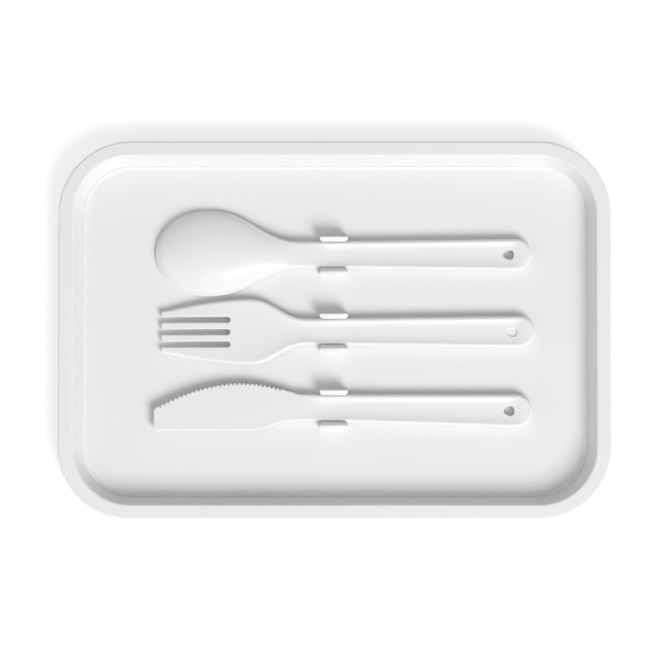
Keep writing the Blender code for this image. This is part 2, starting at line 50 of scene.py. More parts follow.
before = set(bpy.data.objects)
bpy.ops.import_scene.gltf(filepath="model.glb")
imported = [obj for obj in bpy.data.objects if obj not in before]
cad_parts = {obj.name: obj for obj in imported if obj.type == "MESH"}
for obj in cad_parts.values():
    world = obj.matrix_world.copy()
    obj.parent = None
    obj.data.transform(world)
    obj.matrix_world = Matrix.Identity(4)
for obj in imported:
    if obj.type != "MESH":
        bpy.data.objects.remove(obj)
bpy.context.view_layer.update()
TRAY_LOW, TRAY_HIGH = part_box("tray")
SPOON_LOW, SPOON_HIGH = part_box("spoon")
FORK_LOW, FORK_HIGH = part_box("fork")
KNIFE_LOW, KNIFE_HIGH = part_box("knife")

# Four tines and the three slots between them.
STRIPS = 7
# Points with which the outline round a tip or an end is followed.
OUTLINE_POINTS = 200
# A length in metres that is as good as none. It keeps a divisor above 0.
NO_LENGTH = 1e-6


def size(name, default, description):
    """A length in metres."""
    return FloatProperty(
        name=name, description=description, default=default, min=0.0, unit="LENGTH", precision=5
    )


def number(name, default, description):
    """A plain number, such as a power or a share."""
    return FloatProperty(name=name, description=description, default=default, min=0.0)


def count(name, default, description):
    """A whole number of rows, columns or steps."""
    return IntProperty(name=name, description=description, default=default, min=1)


def colour(name, default, description):
    """A linear RGB colour."""
    return FloatVectorProperty(
        name=name, description=description, default=default, subtype="COLOR", size=3, min=0.0, max=1.0
    )


class TraySizes(bpy.types.PropertyGroup):
    """Sizes of the tray's moulding, without its clips."""

    floor: size("Floor", 0.0020, "Thickness of the floor")
    wall: size("Wall", 0.0018, "Thickness of the well's wall")
    draft: size("Wall draft", 0.0030, "How far the well's wall leans in from rim to floor")
    rim: size("Rim", 0.0052, "Width of the flat rim round the well")
    rim_thickness: size("Rim thickness", 0.0018, "Thickness of the rim")
    skirt: size("Skirt", 0.0018, "Thickness of the skirt that hangs from the rim")
    skirt_lift: size("Skirt lift", 0.0010, "Height of the skirt's lower edge")
    skirt_draft: size("Skirt draft", 0.0008, "How far the skirt leans out from rim to foot")
    corner: size("Corner radius", 0.0270, "Radius of the skirt's corners in plan")
    rim_round: size("Rim rounding", 0.0006, "Radius of the rim's outer edge")
    well_round: size("Well edge rounding", 0.0009, "Radius where the rim turns down into the well")
    ledge: size("Ledge height", 0.0003, "Height of the ledge along the wall's foot, over the floor")
    ledge_width: size("Ledge width", 0.0008, "Width of that ledge")
    bead: size("Bead", 0.00012, "How far the middle of the ledge swells up over its edges")
    foot_round: size("Foot rounding", 0.0010, "Radius of the hollow curve from the floor up to the ledge")
    base_round: size("Base rounding", 0.0006, "Radius of the underside's edge")
    small_round: size("Skirt rounding", 0.0004, "Radius of the skirt's edges and of the rim's lower corners")
    level_row: size("Level row", 0.0002, "Length of the straight row of faces beside each rounding")
    floor_margin: size("Floor margin", 0.00025, "Width of the level ring round the floor, inside its foot")
    base_margin: size("Base margin", 0.0024, "Width of the level ring round the underside")
    side_steps: count("Side steps", 16, "Steps along each straight side in plan")
    corner_steps: count("Corner steps", 40, "Steps round each corner in plan")
    arc_steps: count("Arc steps", 8, "Steps in each rounding of the section")


class ClipSizes(bpy.types.PropertyGroup):
    """Sizes of one snap clip."""

    to_nose: size("Clip to nose", 0.0653, "From the knife's nose to the middle of the clips")
    length: size("Length", 0.0102, "Length of a clip along the handle")
    clearance: size("Clearance", 0.0003, "Free space between a handle and its clips")
    overlap: size("Overlap", 0.0004, "How far the hook reaches over the handle's edge")
    tip: size("Tip", 0.0005, "Thickness of the hook's tip")
    lead_in: size("Lead-in", 0.0014, "Width and height of the slope that guides a handle in")
    corner: size("Corner", 0.0009, "How far the hook's tip is shortened at each end")
    thickness: size("Thickness", 0.0011, "Thickness of a clip at its top")
    draft: size("Draft", 0.0005, "How much thicker a clip is at its foot")
    rounding: size("Rounding", 0.00012, "Radius of a clip's edges")
    bulge: number("Bulge", 0.4, "How much steeper than its mean the lead-in starts")
    steps: count("Lead-in steps", 5, "Steps in the part of the lead-in that overhangs the handle")
    round_steps: count("Rounding steps", 3, "Steps in each rounded edge of a clip")
    least_turn: number("Least turn", 25.0, "Angle over which a clip's edge is rounded, in degrees")
    crease: number("Crease", 38.0, "Angle over which an edge of the tray stays sharp, in degrees")


class HandleSizes(bpy.types.PropertyGroup):
    """Sizes that the three handles share."""

    top: size("Top", 0.0039, "Height of a handle's edge over the tray's floor")
    under: size("Underside", 0.0003, "Height of a handle's underside over the tray's floor")
    neck: size("Neck width", 0.0099, "Width where the handle starts")
    end_width: size("End width", 0.0118, "Width where the end cap starts")
    cap: size("Cap length", 0.0059, "Length of the rounded end cap")
    cap_power: number("Cap power", 2.0, "Power of the curve round the end cap, where 2 is an ellipse")
    edge_round: size("Edge rounding", 0.0013, "Radius of the handle's upper edge")
    under_round: size("Lower rounding", 0.0005, "Radius of the handle's lower edges")
    dish: size("Dish depth", 0.0006, "Depth of the shallow dish along the handle")
    dish_power: number("Dish power", 2.5, "Power of the dish's curve across the handle")
    dish_ramp: size("Dish ramp", 0.0140, "Length over which the dish deepens behind the neck")
    dish_margin: size("Dish margin", 0.0024, "Plain length between the dish and the handle's end")
    dish_flat: number("Dish share", 0.2, "Least half width of the dish, as a share of the handle's width")
    hole: size("Hole radius", 0.0018, "Mean radius of the hole near the handle's end")
    hole_point: number("Hole point", 0.08, "Share of the radius by which the hole's three points stand out")
    hole_stretch: number("Hole stretch", 0.07, "Share of the radius by which the hole is longer than round")
    hole_to_end: size("Hole to end", 0.0084, "From the hole's middle to the handle's end")
    hole_round: size("Hole rounding", 0.00018, "Radius of the hole's edges")
    recess: size("Recess depth", 0.0005, "Depth of the fork's blind hole")
    recess_foot: number("Recess foot", 0.3, "Rounding at the blind hole's foot, as a share of its top's")


class SpoonSizes(bpy.types.PropertyGroup):
    """Sizes of the spoon's bowl."""

    length: size("Length", SPOON_HIGH.x - SPOON_LOW.x, "Length over all")
    width: size("Bowl width", SPOON_HIGH.y - SPOON_LOW.y, "Width of the bowl")
    offset: size("Bowl offset", 0.0006, "From the handle's axis to the bowl's middle, away from the fork")
    front: size("Bowl front", 0.0186, "From the tip to the bowl's widest place")
    back: size("Bowl back", 0.0350, "From the bowl's widest place to the neck")
    lip: size("Lip", 0.0013, "Thickness of the bowl's lip")
    dome: size("Dome", 0.0056, "Height of the bowl's back over its lip")
    dome_power: number("Dome power", 0.62, "Power of the dome's curve, where less is flatter")
    edge_round: size("Edge rounding", 0.0003, "Radius of the lip's upper edge")
    under_round: size("Lower rounding", 0.00035, "Radius of the lip's lower edge")
    hollow_margin: size("Hollow margin", 0.0006, "Width of the lip's level underside round the hollow")


class ForkSizes(bpy.types.PropertyGroup):
    """Sizes of the fork's head."""

    length: size("Length", FORK_HIGH.x - FORK_LOW.x, "Length over all")
    width: size("Head width", FORK_HIGH.y - FORK_LOW.y, "Width of the head at its widest place")
    tip_width: size("Tip width", 0.0149, "Width over the tips of the tines")
    front: size("Head front", 0.0314, "From the tips to the head's widest place")
    back: size("Head back", 0.0224, "From the head's widest place to the neck")
    side_power: number("Side power", 1.65, "Power of the curve of the head's sides")
    thickness: size("Thickness", 0.0018, "Thickness of the head")
    edge_round: size("Edge rounding", 0.0012, "Radius of the head's upper edge")
    under_round: size("Lower rounding", 0.0004, "Radius of the fork's lower edges")
    tip_blend: size("Tip blend", 0.003, "Length over which the edge rounding grows behind the tips")
    corner: size("Corner", 0.0006, "Radius of the outer tines' outer corners in plan")
    drop: size("Tine drop", 0.0015, "How far the tips bend down")
    bend: size("Tine bend", 0.0300, "Length over which the tines bend down")
    slot: size("Slot width", 0.0020, "Width of a slot between tines")
    pitch: size("Slot pitch", 0.00447, "From one slot to the next")
    slot_length: size("Slot length", 0.0251, "Length of the slots from the tips")
    slot_round: size("Slot rounding", 0.00045, "Radius of the slots' upper edges")
    tine_corner: size("Tine corner", 0.00025, "Radius of the tines' inner corners in plan")


class KnifeSizes(bpy.types.PropertyGroup):
    """Sizes of the knife's blade."""

    length: size("Length", KNIFE_HIGH.x - KNIFE_LOW.x, "Length over all")
    nose: size("Nose height", 0.0080, "Height of the blade at its nose")
    height: size("Blade height", 0.0173, "Height of the blade at its widest place")
    peak: size("Peak", 0.0315, "From the nose to the blade's widest place")
    belly_power: number("Belly power", 1.9, "Power of the cutting edge's arch")
    blade: size("Blade length", 0.0517, "From the nose to where the back has risen")
    heel: size("Heel height", 0.01315, "Height of the handle's straight front")
    straight: size("Straight back", 0.0340, "Length of the blade's straight back")
    rise: size("Back rise", 0.0034, "How far the back rises to the neck")
    thickness: size("Thickness", 0.0018, "Thickness of the blade at its back")
    edge: size("Cutting edge", 0.0010, "Thickness of the blade at its cutting edge")
    edge_round: size("Edge rounding", 0.0005, "Radius of the blade's upper edge")
    under_round: size("Lower rounding", 0.0003, "Radius of the blade's lower edge")
    corner: size("Nose corner", 0.0012, "Radius of the nose's corners in plan")
    taper: size("Handle taper", 0.0026, "How far the handle's back falls towards its end")
    pitch: size("Tooth pitch", 0.00156, "From one tooth to the next")
    depth: size("Tooth depth", 0.0008, "Depth of the valleys between the teeth")
    teeth_start: size("Teeth start", 0.0014, "From the nose to the first tooth")
    teeth_length: size("Teeth length", 0.04524, "Length of the row of teeth")


class Fineness(bpy.types.PropertyGroup):
    """How fine the cutlery's grids are."""

    columns: count("Columns", 40, "Cells across the spoon and the knife")
    crowding: number("Crowding", 0.6, "Share by which the spoon's edge cells are narrower, the knife's wider")
    tine_columns: count("Tine columns", 8, "Cells across each tine and each slot")
    row: size("Row", 0.00048, "Length of a row of cells along a piece")
    fine_row: size("Fine row", 0.00026, "Length of a row round the handle's end")
    corner_row: size("Corner row", 0.00015, "Length of a row round the tines' corners")
    root_rows: count("Root rows", 4, "Rows round the root of each slot")
    blend_from: size("Blend start", 0.0005, "From the slots' roots to where the columns start to even out")
    blend: size("Blend length", 0.0195, "Length over which the fork's columns even out")
    hole_cells: count("Hole cells", 6, "Cells from the middle of the spoon's or knife's hole to its edge")
    hole_reach: number("Hole reach", 0.9, "Half length of the rows round a hole, as a share of its radius")
    tooth_rows: count("Tooth rows", 8, "Rows of cells to each tooth")
    edge_steps: count("Edge steps", 6, "Steps in each rounded edge")
    settle_rounds: count("Settling rounds", 120, "Rounds of averaging that even out each grid")


class Finish(bpy.types.PropertyGroup):
    """Colours and gloss of the plastic."""

    tray_colour: colour("Tray colour", (0.835, 0.828, 0.818), "Colour of the tray's plastic")
    cutlery_colour: colour("Cutlery colour", (0.840, 0.829, 0.822), "Colour of the cutlery's plastic")
    tray_gloss: number("Tray roughness", 0.24, "Roughness of the tray")
    cutlery_gloss: number("Cutlery roughness", 0.26, "Roughness of the cutlery")
    cloud: number("Cloud", 0.985, "Share of the colour that is left where the plastic is cloudiest")
    haze: number("Haze", 0.03, "How far the roughness strays to either side")


class StageSizes(bpy.types.PropertyGroup):
    """Camera, lamps and floor."""

    distance: size("Camera distance", 1.40, "From the camera to the tray's rim")
    elevation: number("Camera elevation", 87.6, "Angle of the camera over the horizon, in degrees")
    camera_azimuth: number("Camera azimuth", 270.0, "Direction of the camera in plan, in degrees from +X")
    frame_width: size("Frame width", 0.2421, "Width of the picture at the tray's rim")
    aim_x: FloatProperty(name="Aim X", default=0.00005, unit="LENGTH", description="Middle of the picture")
    aim_y: FloatProperty(name="Aim Y", default=-0.0018, unit="LENGTH", description="Middle of the picture")
    key_power: number("Key power", 76.0, "Power of the key lamp, in watts")
    key_size: size("Key size", 1.50, "Side of the key lamp")
    key_distance: size("Key distance", 3.0, "From the key lamp to the tray")
    key_azimuth: number("Key azimuth", 305.0, "Direction of the key lamp in plan, in degrees from +X")
    key_elevation: number("Key elevation", 44.5, "Angle of the key lamp over the horizon, in degrees")
    sheen_power: number("Sheen power", 12.0, "Power of the lamp that the gloss reflects, in watts")
    sheen_size: size("Sheen size", 0.70, "Side of the sheen lamp")
    sheen_azimuth: number("Sheen azimuth", 291.0, "Direction of the sheen lamp in plan, in degrees from +X")
    sheen_elevation: number("Sheen elevation", 62.0, "Angle of the sheen lamp over the horizon, in degrees")
    fill_power: number("Fill power", 13.0, "Power of the fill lamp, in watts")
    fill_size: size("Fill size", 2.00, "Side of the fill lamp")
    fill_distance: size("Fill distance", 3.0, "From the fill lamp to the tray")
    fill_azimuth: number("Fill azimuth", 195.0, "Direction of the fill lamp in plan, in degrees from +X")
    fill_elevation: number("Fill elevation", 30.0, "Angle of the fill lamp over the horizon, in degrees")
    ambient: number("Ambient", 0.36, "Strength of the white surroundings as light")
    floor_colour: number("Floor colour", 0.50, "Colour of the floor under the lamps, as the camera sees it")
    floor_glow: number("Floor glow", 0.64, "Plain white that the camera sees on the floor")
    bounce: number("Bounce", 0.85, "Colour of the floor as the object and the light see it")
    floor_side: size("Floor side", 8.0, "Length of the floor's sides")
    floor_gap: size("Floor gap", 0.0001, "From the tray's underside down to the floor")


def ease(t):
    """Smooth step from 0 to 1 with level ends: 6t^5 - 15t^4 + 10t^3, held flat outside 0..1."""
    t = np.clip(t, 0.0, 1.0)
    return t**3 * (10.0 - 15.0 * t + 6.0 * t**2)


def corner_drop(x, radius):
    """How far a rounded corner lies inside the square one: r - sqrt(r^2 - (r - x)^2), x from the end."""
    left = np.clip(1.0 - x / radius, 0.0, 1.0)
    return radius * (1.0 - np.sqrt(1.0 - left**2))


def paced(marks, gaps, slack=0.01):
    """Rising stations through the marks, evenly spaced between each two, about the gap apart or less."""
    runs = [
        np.linspace(start, end, max(1, math.ceil((end - start) / gap - slack)) + 1)[:-1]
        for start, end, gap in zip(marks, marks[1:], gaps)
    ]
    return np.concatenate([*runs, marks[-1:]])


def make_mesh(name, points, faces):
    """A mesh of the points and of arrays of faces, each array holding faces of one size."""
    mesh = bpy.data.meshes.new(name)
    corners = np.concatenate([part.ravel() for part in faces]).astype(np.int32)
    sizes = np.concatenate([np.full(len(part), part.shape[1]) for part in faces])
    starts = np.concatenate([[0], np.cumsum(sizes)[:-1]]).astype(np.int32)
    mesh.vertices.add(len(points))
    mesh.vertices.foreach_set("co", points.astype(np.float32).ravel())
    mesh.loops.add(len(corners))
    mesh.loops.foreach_set("vertex_index", corners)
    mesh.polygons.add(len(sizes))
    mesh.polygons.foreach_set("loop_start", starts)
    mesh.update(calc_edges=True)
    if mesh.validate():
        raise RuntimeError(f"{name} has faces that Blender had to repair")
    mesh.shade_smooth()
    return mesh


def show(name, mesh, material, slot_name, *nodes):
    """Links a finished mesh, gives it its material and lets it stand for its nodes of the model."""
    piece = bpy.data.objects.new(name, mesh)
    bpy.context.scene.collection.objects.link(piece)
    mesh.materials.clear()
    mesh.materials.append(material)
    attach(piece, "root")
    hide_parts(*nodes)
    return piece


def cap_share(x, length, handle):
    """Share of the full handle width: 1 along the handle, then (1 - t^p)^(1/p) round the end cap."""
    into = np.clip((x - (length - handle.cap)) / handle.cap, 0.0, 1.0)
    return np.maximum(1.0 - into**handle.cap_power, 0.0) ** (1.0 / handle.cap_power)


def handle_half_width(x, neck_at, length, handle):
    """Half width of a handle, which widens evenly from the neck to its end cap."""
    widen = np.clip((x - neck_at) / (length - handle.cap - neck_at), 0.0, 1.0)
    return 0.5 * (handle.neck + (handle.end_width - handle.neck) * widen)


def dish_depth(x, s, start, length, handle):
    """Depth of the handle's dish: it deepens behind start, rises before the end and is 1 - |s|^p across."""
    deepen = ease((x - start) / handle.dish_ramp)
    rise = ease((length - handle.dish_margin - x) / handle.cap)
    return handle.dish * deepen * rise * (1.0 - np.abs(s) ** handle.dish_power)


def share_across(x, y, edges, rounding, handle):
    """Place across a piece, from -1 to 1 between the inner ends of its two edge roundings."""
    low, high = edges(x)
    half = np.maximum(0.5 * (high - low) - rounding, handle.dish_flat * (high - low) + NO_LENGTH)
    return np.clip((y - 0.5 * (low + high)) / half, -1.0, 1.0)


def crowded(columns, share):
    """Places across a piece from 0 to 1, closer together along its edges: t - c sin(2 pi t) / 2 pi.

    A share c below 0 puts them further apart there.
    """
    even = np.linspace(0.0, 1.0, columns + 1)
    return even - share * np.sin(2.0 * math.pi * even) / (2.0 * math.pi)


def plan_grid(x, across, edges, end):
    """Grid of points over a piece's plan from its tip at 0 to its end, rows across it at the stations x.

    The two outer rows follow the outline round the tip and the end, and the bulge that this gives them
    fades over the next rows with the square of the distance.
    """
    low, high = edges(x)
    y = low[:, None] + (high - low)[:, None] * across
    grid = np.stack([np.broadcast_to(x[:, None], y.shape), y], axis=2)
    far = np.arange(len(x)) / across.shape[-1]
    for row, outer, away in ((0, 0.0, far), (-1, end, far[::-1])):
        outline = outer + (x[row] - outer) * np.linspace(0.0, 1.0, OUTLINE_POINTS) ** 2
        low, high = edges(outline)
        ys = np.concatenate([low[::-1], high])
        bulge = np.interp(y[row], ys, np.concatenate([outline[::-1], outline])) - x[row]
        grid[..., 0] += np.clip(1.0 - away, 0.0, 1.0)[:, None] ** 2 * bulge
    return grid


def points_of(cells):
    """Mask of the grid points that at least one of these cells touches."""
    rows, columns = cells.shape
    touched = np.zeros((rows + 1, columns + 1), bool)
    for i in (0, 1):
        for j in (0, 1):
            touched[i : rows + i, j : columns + j] |= cells
    return touched


def rim_of(cells):
    """Edges round the kept cells, which lie on their left, as arrays of start and end point numbers."""
    rows, columns = cells.shape
    ids = np.arange((rows + 1) * (columns + 1)).reshape(rows + 1, columns + 1)
    corners = [ids[:-1, :-1], ids[1:, :-1], ids[1:, 1:], ids[:-1, 1:]]
    start = np.concatenate([corners[k][cells] for k in range(4)])
    end = np.concatenate([corners[(k + 1) % 4][cells] for k in range(4)])
    alone = ~np.isin(start * ids.size + end, end * ids.size + start)
    return start[alone], end[alone]


def cell_faces(cells, first):
    """Upward faces of the kept cells, with point numbers counted from first."""
    rows, columns = cells.shape
    ids = first + np.arange((rows + 1) * (columns + 1)).reshape(rows + 1, columns + 1)
    corners = [ids[:-1, :-1], ids[1:, :-1], ids[1:, 1:], ids[:-1, 1:]]
    return np.stack([corner[cells] for corner in corners], axis=1)


def outward(points, start, end):
    """Unit normals out of the kept cells at the rim's start points, across the two edges that meet there."""
    flat = points.reshape(-1, 2)
    after, before = np.zeros(len(flat), int), np.zeros(len(flat), int)
    after[start] = end
    before[end] = start
    along = flat[after[start]] - flat[before[start]]
    normal = np.stack([along[:, 1], -along[:, 0]], axis=1)
    return normal / np.linalg.norm(normal, axis=1)[:, None]


def spread(moves, held, cells, rounds):
    """Carries the moves of the held points over the rest of a grid.

    A free point starts from the even mix of its row's two end moves, plus what the outer rows move beyond
    that, fading with the square of the distance. Round after round it then takes its neighbours' mean.
    """
    rows, columns = held.shape
    t = np.linspace(0.0, 1.0, columns)[None, :, None]
    flow = (1.0 - t) * moves[:, :1] + t * moves[:, -1:]
    far = np.arange(rows) / columns
    for row, away in ((0, far), (-1, far[::-1])):
        rest = moves[row] - flow[row]
        flow = flow + np.clip(1.0 - away, 0.0, 1.0)[:, None, None] ** 2 * rest
    flow = np.where(held[..., None], moves, flow)
    weight = points_of(cells).astype(float)[..., None]
    total, near = np.zeros_like(flow), np.zeros_like(weight)
    pairs = [
        (np.s_[1:, :], np.s_[:-1, :]),
        (np.s_[:-1, :], np.s_[1:, :]),
        (np.s_[:, 1:], np.s_[:, :-1]),
        (np.s_[:, :-1], np.s_[:, 1:]),
    ]
    for here, there in pairs:
        near[here] += weight[there]
    near = np.maximum(near, 1.0)
    for _ in range(rounds):
        total[:] = 0.0
        for here, there in pairs:
            total[here] += flow[there] * weight[there]
        flow = np.where(held[..., None], moves, total / near)
    return flow


def hole_block(shape, row, column, half):
    """Mask of the cells of a square block round a grid point, half a block wide each way."""
    block = np.zeros(shape, bool)
    block[row - half : row + half, column - half : column + half] = True
    return block


def hole_points(shape, row, column, half, middle, handle):
    """Places of a block's points when its square rings are bent into the hole's outline.

    The outline is a rounded triangle, r(1 + q cos 2a - p cos 3a), longer than wide, with a point to the tip.
    """
    u = (np.arange(shape[0] + 1)[:, None] - row) / half * np.ones(shape[1] + 1)
    v = (np.arange(shape[1] + 1)[None, :] - column) / half * np.ones((shape[0] + 1, 1))
    ring = np.maximum(np.abs(u), np.abs(v))
    quarter = 0.25 * math.pi
    side_on = np.abs(u) >= np.abs(v)
    safe_u, safe_v = np.where(u == 0.0, 1.0, u), np.where(v == 0.0, 1.0, v)
    turn_u = quarter * v / safe_u + np.where(u < 0.0, math.pi, 0.0)
    turn_v = np.where(v < 0.0, -0.5, 0.5) * math.pi - quarter * u / safe_v
    turn = np.where(side_on, turn_u, turn_v)
    swell = handle.hole_stretch * np.cos(2.0 * turn) - handle.hole_point * np.cos(3.0 * turn)
    reach = ring * handle.hole * (1.0 + swell)
    return np.stack([middle[0] + reach * np.cos(turn), middle[1] + reach * np.sin(turn)], axis=2)


def rounded_walls(place, normal, upper, lower, round_top, round_low, ripple, steps):
    """Rings of points down a side: a quarter round, the upright wall and a quarter round at the foot.

    Each rounding goes in from the outline by r(1 - sin t) and away in height by r(1 - cos t). The ripple
    draws the whole side in by the depth of the teeth.
    """
    turn = 0.5 * math.pi * np.arange(1, steps + 1) / steps
    down = [(t, round_top, upper, -1.0) for t in turn] + [(t, round_low, lower, 1.0) for t in turn[::-1]]
    rings = []
    for t, radius, edge, way in down:
        inset = radius * (1.0 - math.sin(t)) + ripple
        height = edge + way * radius * (1.0 - math.cos(t))
        rings.append(np.column_stack([place - normal * inset[:, None], height]))
    return np.concatenate(rings)


def ring_faces(start, end, count_of, loops):
    """Outward faces between loops of points; each loop maps the rim's point numbers to the mesh's."""
    slot_of = np.zeros(count_of, int)
    slot_of[start] = np.arange(len(start))
    a, b = slot_of[start], slot_of[end]
    return np.concatenate(
        [
            np.stack([upper[a], lower[a], lower[b], upper[b]], axis=1)
            for upper, lower in zip(loops, loops[1:])
        ]
    )


def moulding(name, plan, cut, blind, top, bottom, round_top, round_low, ripple, handle, origin, fine):
    """One closed moulding over a plan grid.

    Its upper and lower faces are the grid lifted to the heights top(x, y) and bottom(x, y), each drawn in
    from the outline by its rounding. Rings of points round every rim join them. Cells in cut are left open
    right through. Cells in blind are open at the top only, down to a flat recess.
    """
    solid = ~cut
    skin = solid & ~blind
    ids = plan.shape[0] * plan.shape[1]
    flat = plan.reshape(-1, 2)
    start, end = rim_of(solid)
    skin_start, skin_end = rim_of(skin)

    def drawn_in(cells, begin, finish_at, radius):
        normal = outward(plan, begin, finish_at)
        moves = np.zeros((ids, 2))
        moves[begin] = -normal * (radius + ripple).reshape(-1)[begin, None]
        held = np.zeros(ids, bool)
        held[begin] = True
        shape = plan.shape[:2]
        return plan + spread(moves.reshape(plan.shape), held.reshape(shape), cells, fine.settle_rounds)

    upper_grid = drawn_in(skin, skin_start, skin_end, round_top)
    lower_grid = drawn_in(solid, start, end, round_low)
    upper = np.dstack([upper_grid, top(upper_grid[..., 0], upper_grid[..., 1])]).reshape(-1, 3)
    lower = np.dstack([lower_grid, bottom(lower_grid[..., 0], lower_grid[..., 1])]).reshape(-1, 3)
    walls = rounded_walls(
        flat[start],
        outward(plan, start, end),
        upper[start, 2],
        lower[start, 2],
        round_top.reshape(-1)[start],
        round_low.reshape(-1)[start],
        ripple.reshape(-1)[start],
        fine.edge_steps,
    )
    points = [upper, lower, walls]
    rim = np.arange(len(start))
    loops = [start] + [2 * ids + k * len(start) + rim for k in range(2 * fine.edge_steps)] + [ids + start]
    faces = [cell_faces(skin, 0), cell_faces(solid, ids)[:, ::-1], ring_faces(start, end, ids, loops)]

    if blind.any():
        inner = np.isin(skin_start, skin_start[~np.isin(skin_start, start)])
        begin, finish_at = skin_start[inner], skin_end[inner]
        normal = outward(plan, begin, finish_at)
        depth_at = float(upper[begin, 2].mean()) - handle.recess
        base = 2 * ids + len(walls)
        radius = round_top.reshape(-1)[begin]
        foot = handle.recess_foot * radius
        wall = rounded_walls(
            flat[begin], normal, upper[begin, 2], np.full(len(begin), depth_at), radius, -foot, 0.0 * foot,
            fine.edge_steps,
        )
        inside = points_of(blind).reshape(-1)
        middle = flat[begin].mean(axis=0)
        shrink = 1.0 - float(foot.mean()) / np.linalg.norm(flat[begin] - middle, axis=1).mean()
        floor = np.column_stack([middle + (flat - middle) * shrink, np.full(ids, depth_at)])
        floor[~inside] = 0.0
        points += [wall, floor]
        rim = np.arange(len(begin))
        steps = [base + k * len(begin) + rim for k in range(2 * fine.edge_steps)]
        faces.append(ring_faces(begin, finish_at, ids, [begin] + steps + [base + len(wall) + begin]))
        faces.append(cell_faces(blind, base + len(wall)))

    points = np.concatenate(points)
    used, faces_flat = np.unique(np.concatenate(faces), return_inverse=True)
    return make_mesh(name, points[used] + np.array(origin), [faces_flat.reshape(-1, 4)])


def spoon_edges(x, spoon, handle):
    """Edges of the spoon's plan: half an ellipse w sqrt(1 - t^2), an eased waist, then the handle."""
    towards_bowl = 1.0 - ease((x - spoon.front) / spoon.back)
    ahead = np.clip((spoon.front - x) / spoon.front, 0.0, 1.0)
    front = 0.5 * spoon.width * np.sqrt(1.0 - ahead**2)
    behind = handle_half_width(x, spoon.front + spoon.back, spoon.length, handle)
    waist = behind + (0.5 * spoon.width - behind) * towards_bowl
    half = np.where(x < spoon.front, front, waist) * cap_share(x, spoon.length, handle)
    middle = spoon.offset * towards_bowl
    return middle - half, middle + half


def bowl_dome(x, y, spoon, handle, rounding):
    """Height of the bowl over its lip: (1 - t^2 - (y/w)^2)^p in front, eased out towards the neck."""
    low, high = spoon_edges(x, spoon, handle)
    away = y - 0.5 * (low + high)
    ahead = np.clip((spoon.front - x) / (spoon.front - rounding), 0.0, 1.0)
    front = 1.0 - ahead**2 - (away / (0.5 * spoon.width - rounding)) ** 2
    back = 1.0 - (away / np.maximum(0.5 * (high - low) - rounding, NO_LENGTH)) ** 2
    back = back * (1.0 - ease((x - spoon.front) / spoon.back))
    return spoon.dome * np.maximum(np.where(x < spoon.front, front, back), 0.0) ** spoon.dome_power


def spoon_top(x, y, spoon, handle):
    """Upper face: the lip's height eased up to the handle's, plus the dome, less the dish."""
    grow = ease((x - spoon.front) / spoon.back)
    lip = handle.under + spoon.lip
    rounding = spoon.edge_round + (handle.edge_round - spoon.edge_round) * grow
    s = share_across(x, y, lambda at: spoon_edges(at, spoon, handle), rounding, handle)
    dish = dish_depth(x, s, spoon.front + spoon.back, spoon.length, handle)
    return lip + (handle.top - lip) * grow + bowl_dome(x, y, spoon, handle, spoon.edge_round) - dish


def fork_edges(x, fork, handle):
    """Edges of the fork's plan: tines that flare as t^p, an eased waist, then the handle."""
    ahead = np.clip((fork.front - x) / fork.front, 0.0, 1.0)
    flare = 0.5 * (fork.width - fork.tip_width) * ahead**fork.side_power
    behind = handle_half_width(x, fork.front + fork.back, fork.length, handle)
    waist = behind + (0.5 * fork.width - behind) * (1.0 - ease((x - fork.front) / fork.back))
    half = np.where(x < fork.front, 0.5 * fork.width - flare, waist)
    half = half * cap_share(x, fork.length, handle) - corner_drop(x, fork.corner)
    return -half, half


def fork_edge_height(x, fork, handle):
    """Height of the fork's edge: level, with the tines bending down as the square of the distance."""
    return handle.top - fork.drop * np.clip(1.0 - x / fork.bend, 0.0, 1.0) ** 2


def fork_across(x, fork, handle, fine):
    """Places across the fork, as shares of its width: even over each tine and slot, then even over all."""
    low, high = fork_edges(x, fork, handle)
    centres = fork.pitch * np.array([-1.0, 0.0, 1.0])
    sides = np.sort(np.concatenate([centres - 0.5 * fork.slot, centres + 0.5 * fork.slot]))
    sides = (sides - low[:, None]) / (high - low)[:, None]
    marks = np.column_stack([np.zeros(len(x)), sides, np.ones(len(x))])
    column = np.arange(STRIPS * fine.tine_columns + 1)
    k = np.minimum(column // fine.tine_columns, STRIPS - 1)
    t = (column - k * fine.tine_columns) / fine.tine_columns
    stepped = marks[:, k] * (1.0 - t) + marks[:, k + 1] * t
    mix = ease((x - fork.slot_length - fine.blend_from) / fine.blend)[:, None]
    return stepped + (column / column[-1] - stepped) * mix


def knife_belly(x, knife):
    """Height of the cutting edge: an arch h - a|x/peak - 1|^p, then its tangent behind the teeth."""
    arch = knife.height - knife.nose
    straight_from = knife.teeth_start + knife.teeth_length
    bent = np.minimum(x, straight_from)
    drop = arch * np.abs(bent / knife.peak - 1.0) ** knife.belly_power
    return knife.height - drop - belly_slope(knife) * (x - bent)


def belly_slope(knife):
    """Fall of the cutting edge per length where its teeth end."""
    behind = (knife.teeth_start + knife.teeth_length) / knife.peak - 1.0
    arch = knife.height - knife.nose
    return arch * knife.belly_power * behind ** (knife.belly_power - 1.0) / knife.peak


def heel_at(knife):
    """Where the cutting edge falls to the height of the handle's straight front."""
    straight_from = knife.teeth_start + knife.teeth_length
    height = float(knife_belly(np.array([straight_from]), knife)[0])
    return straight_from + (height - knife.heel) / belly_slope(knife)


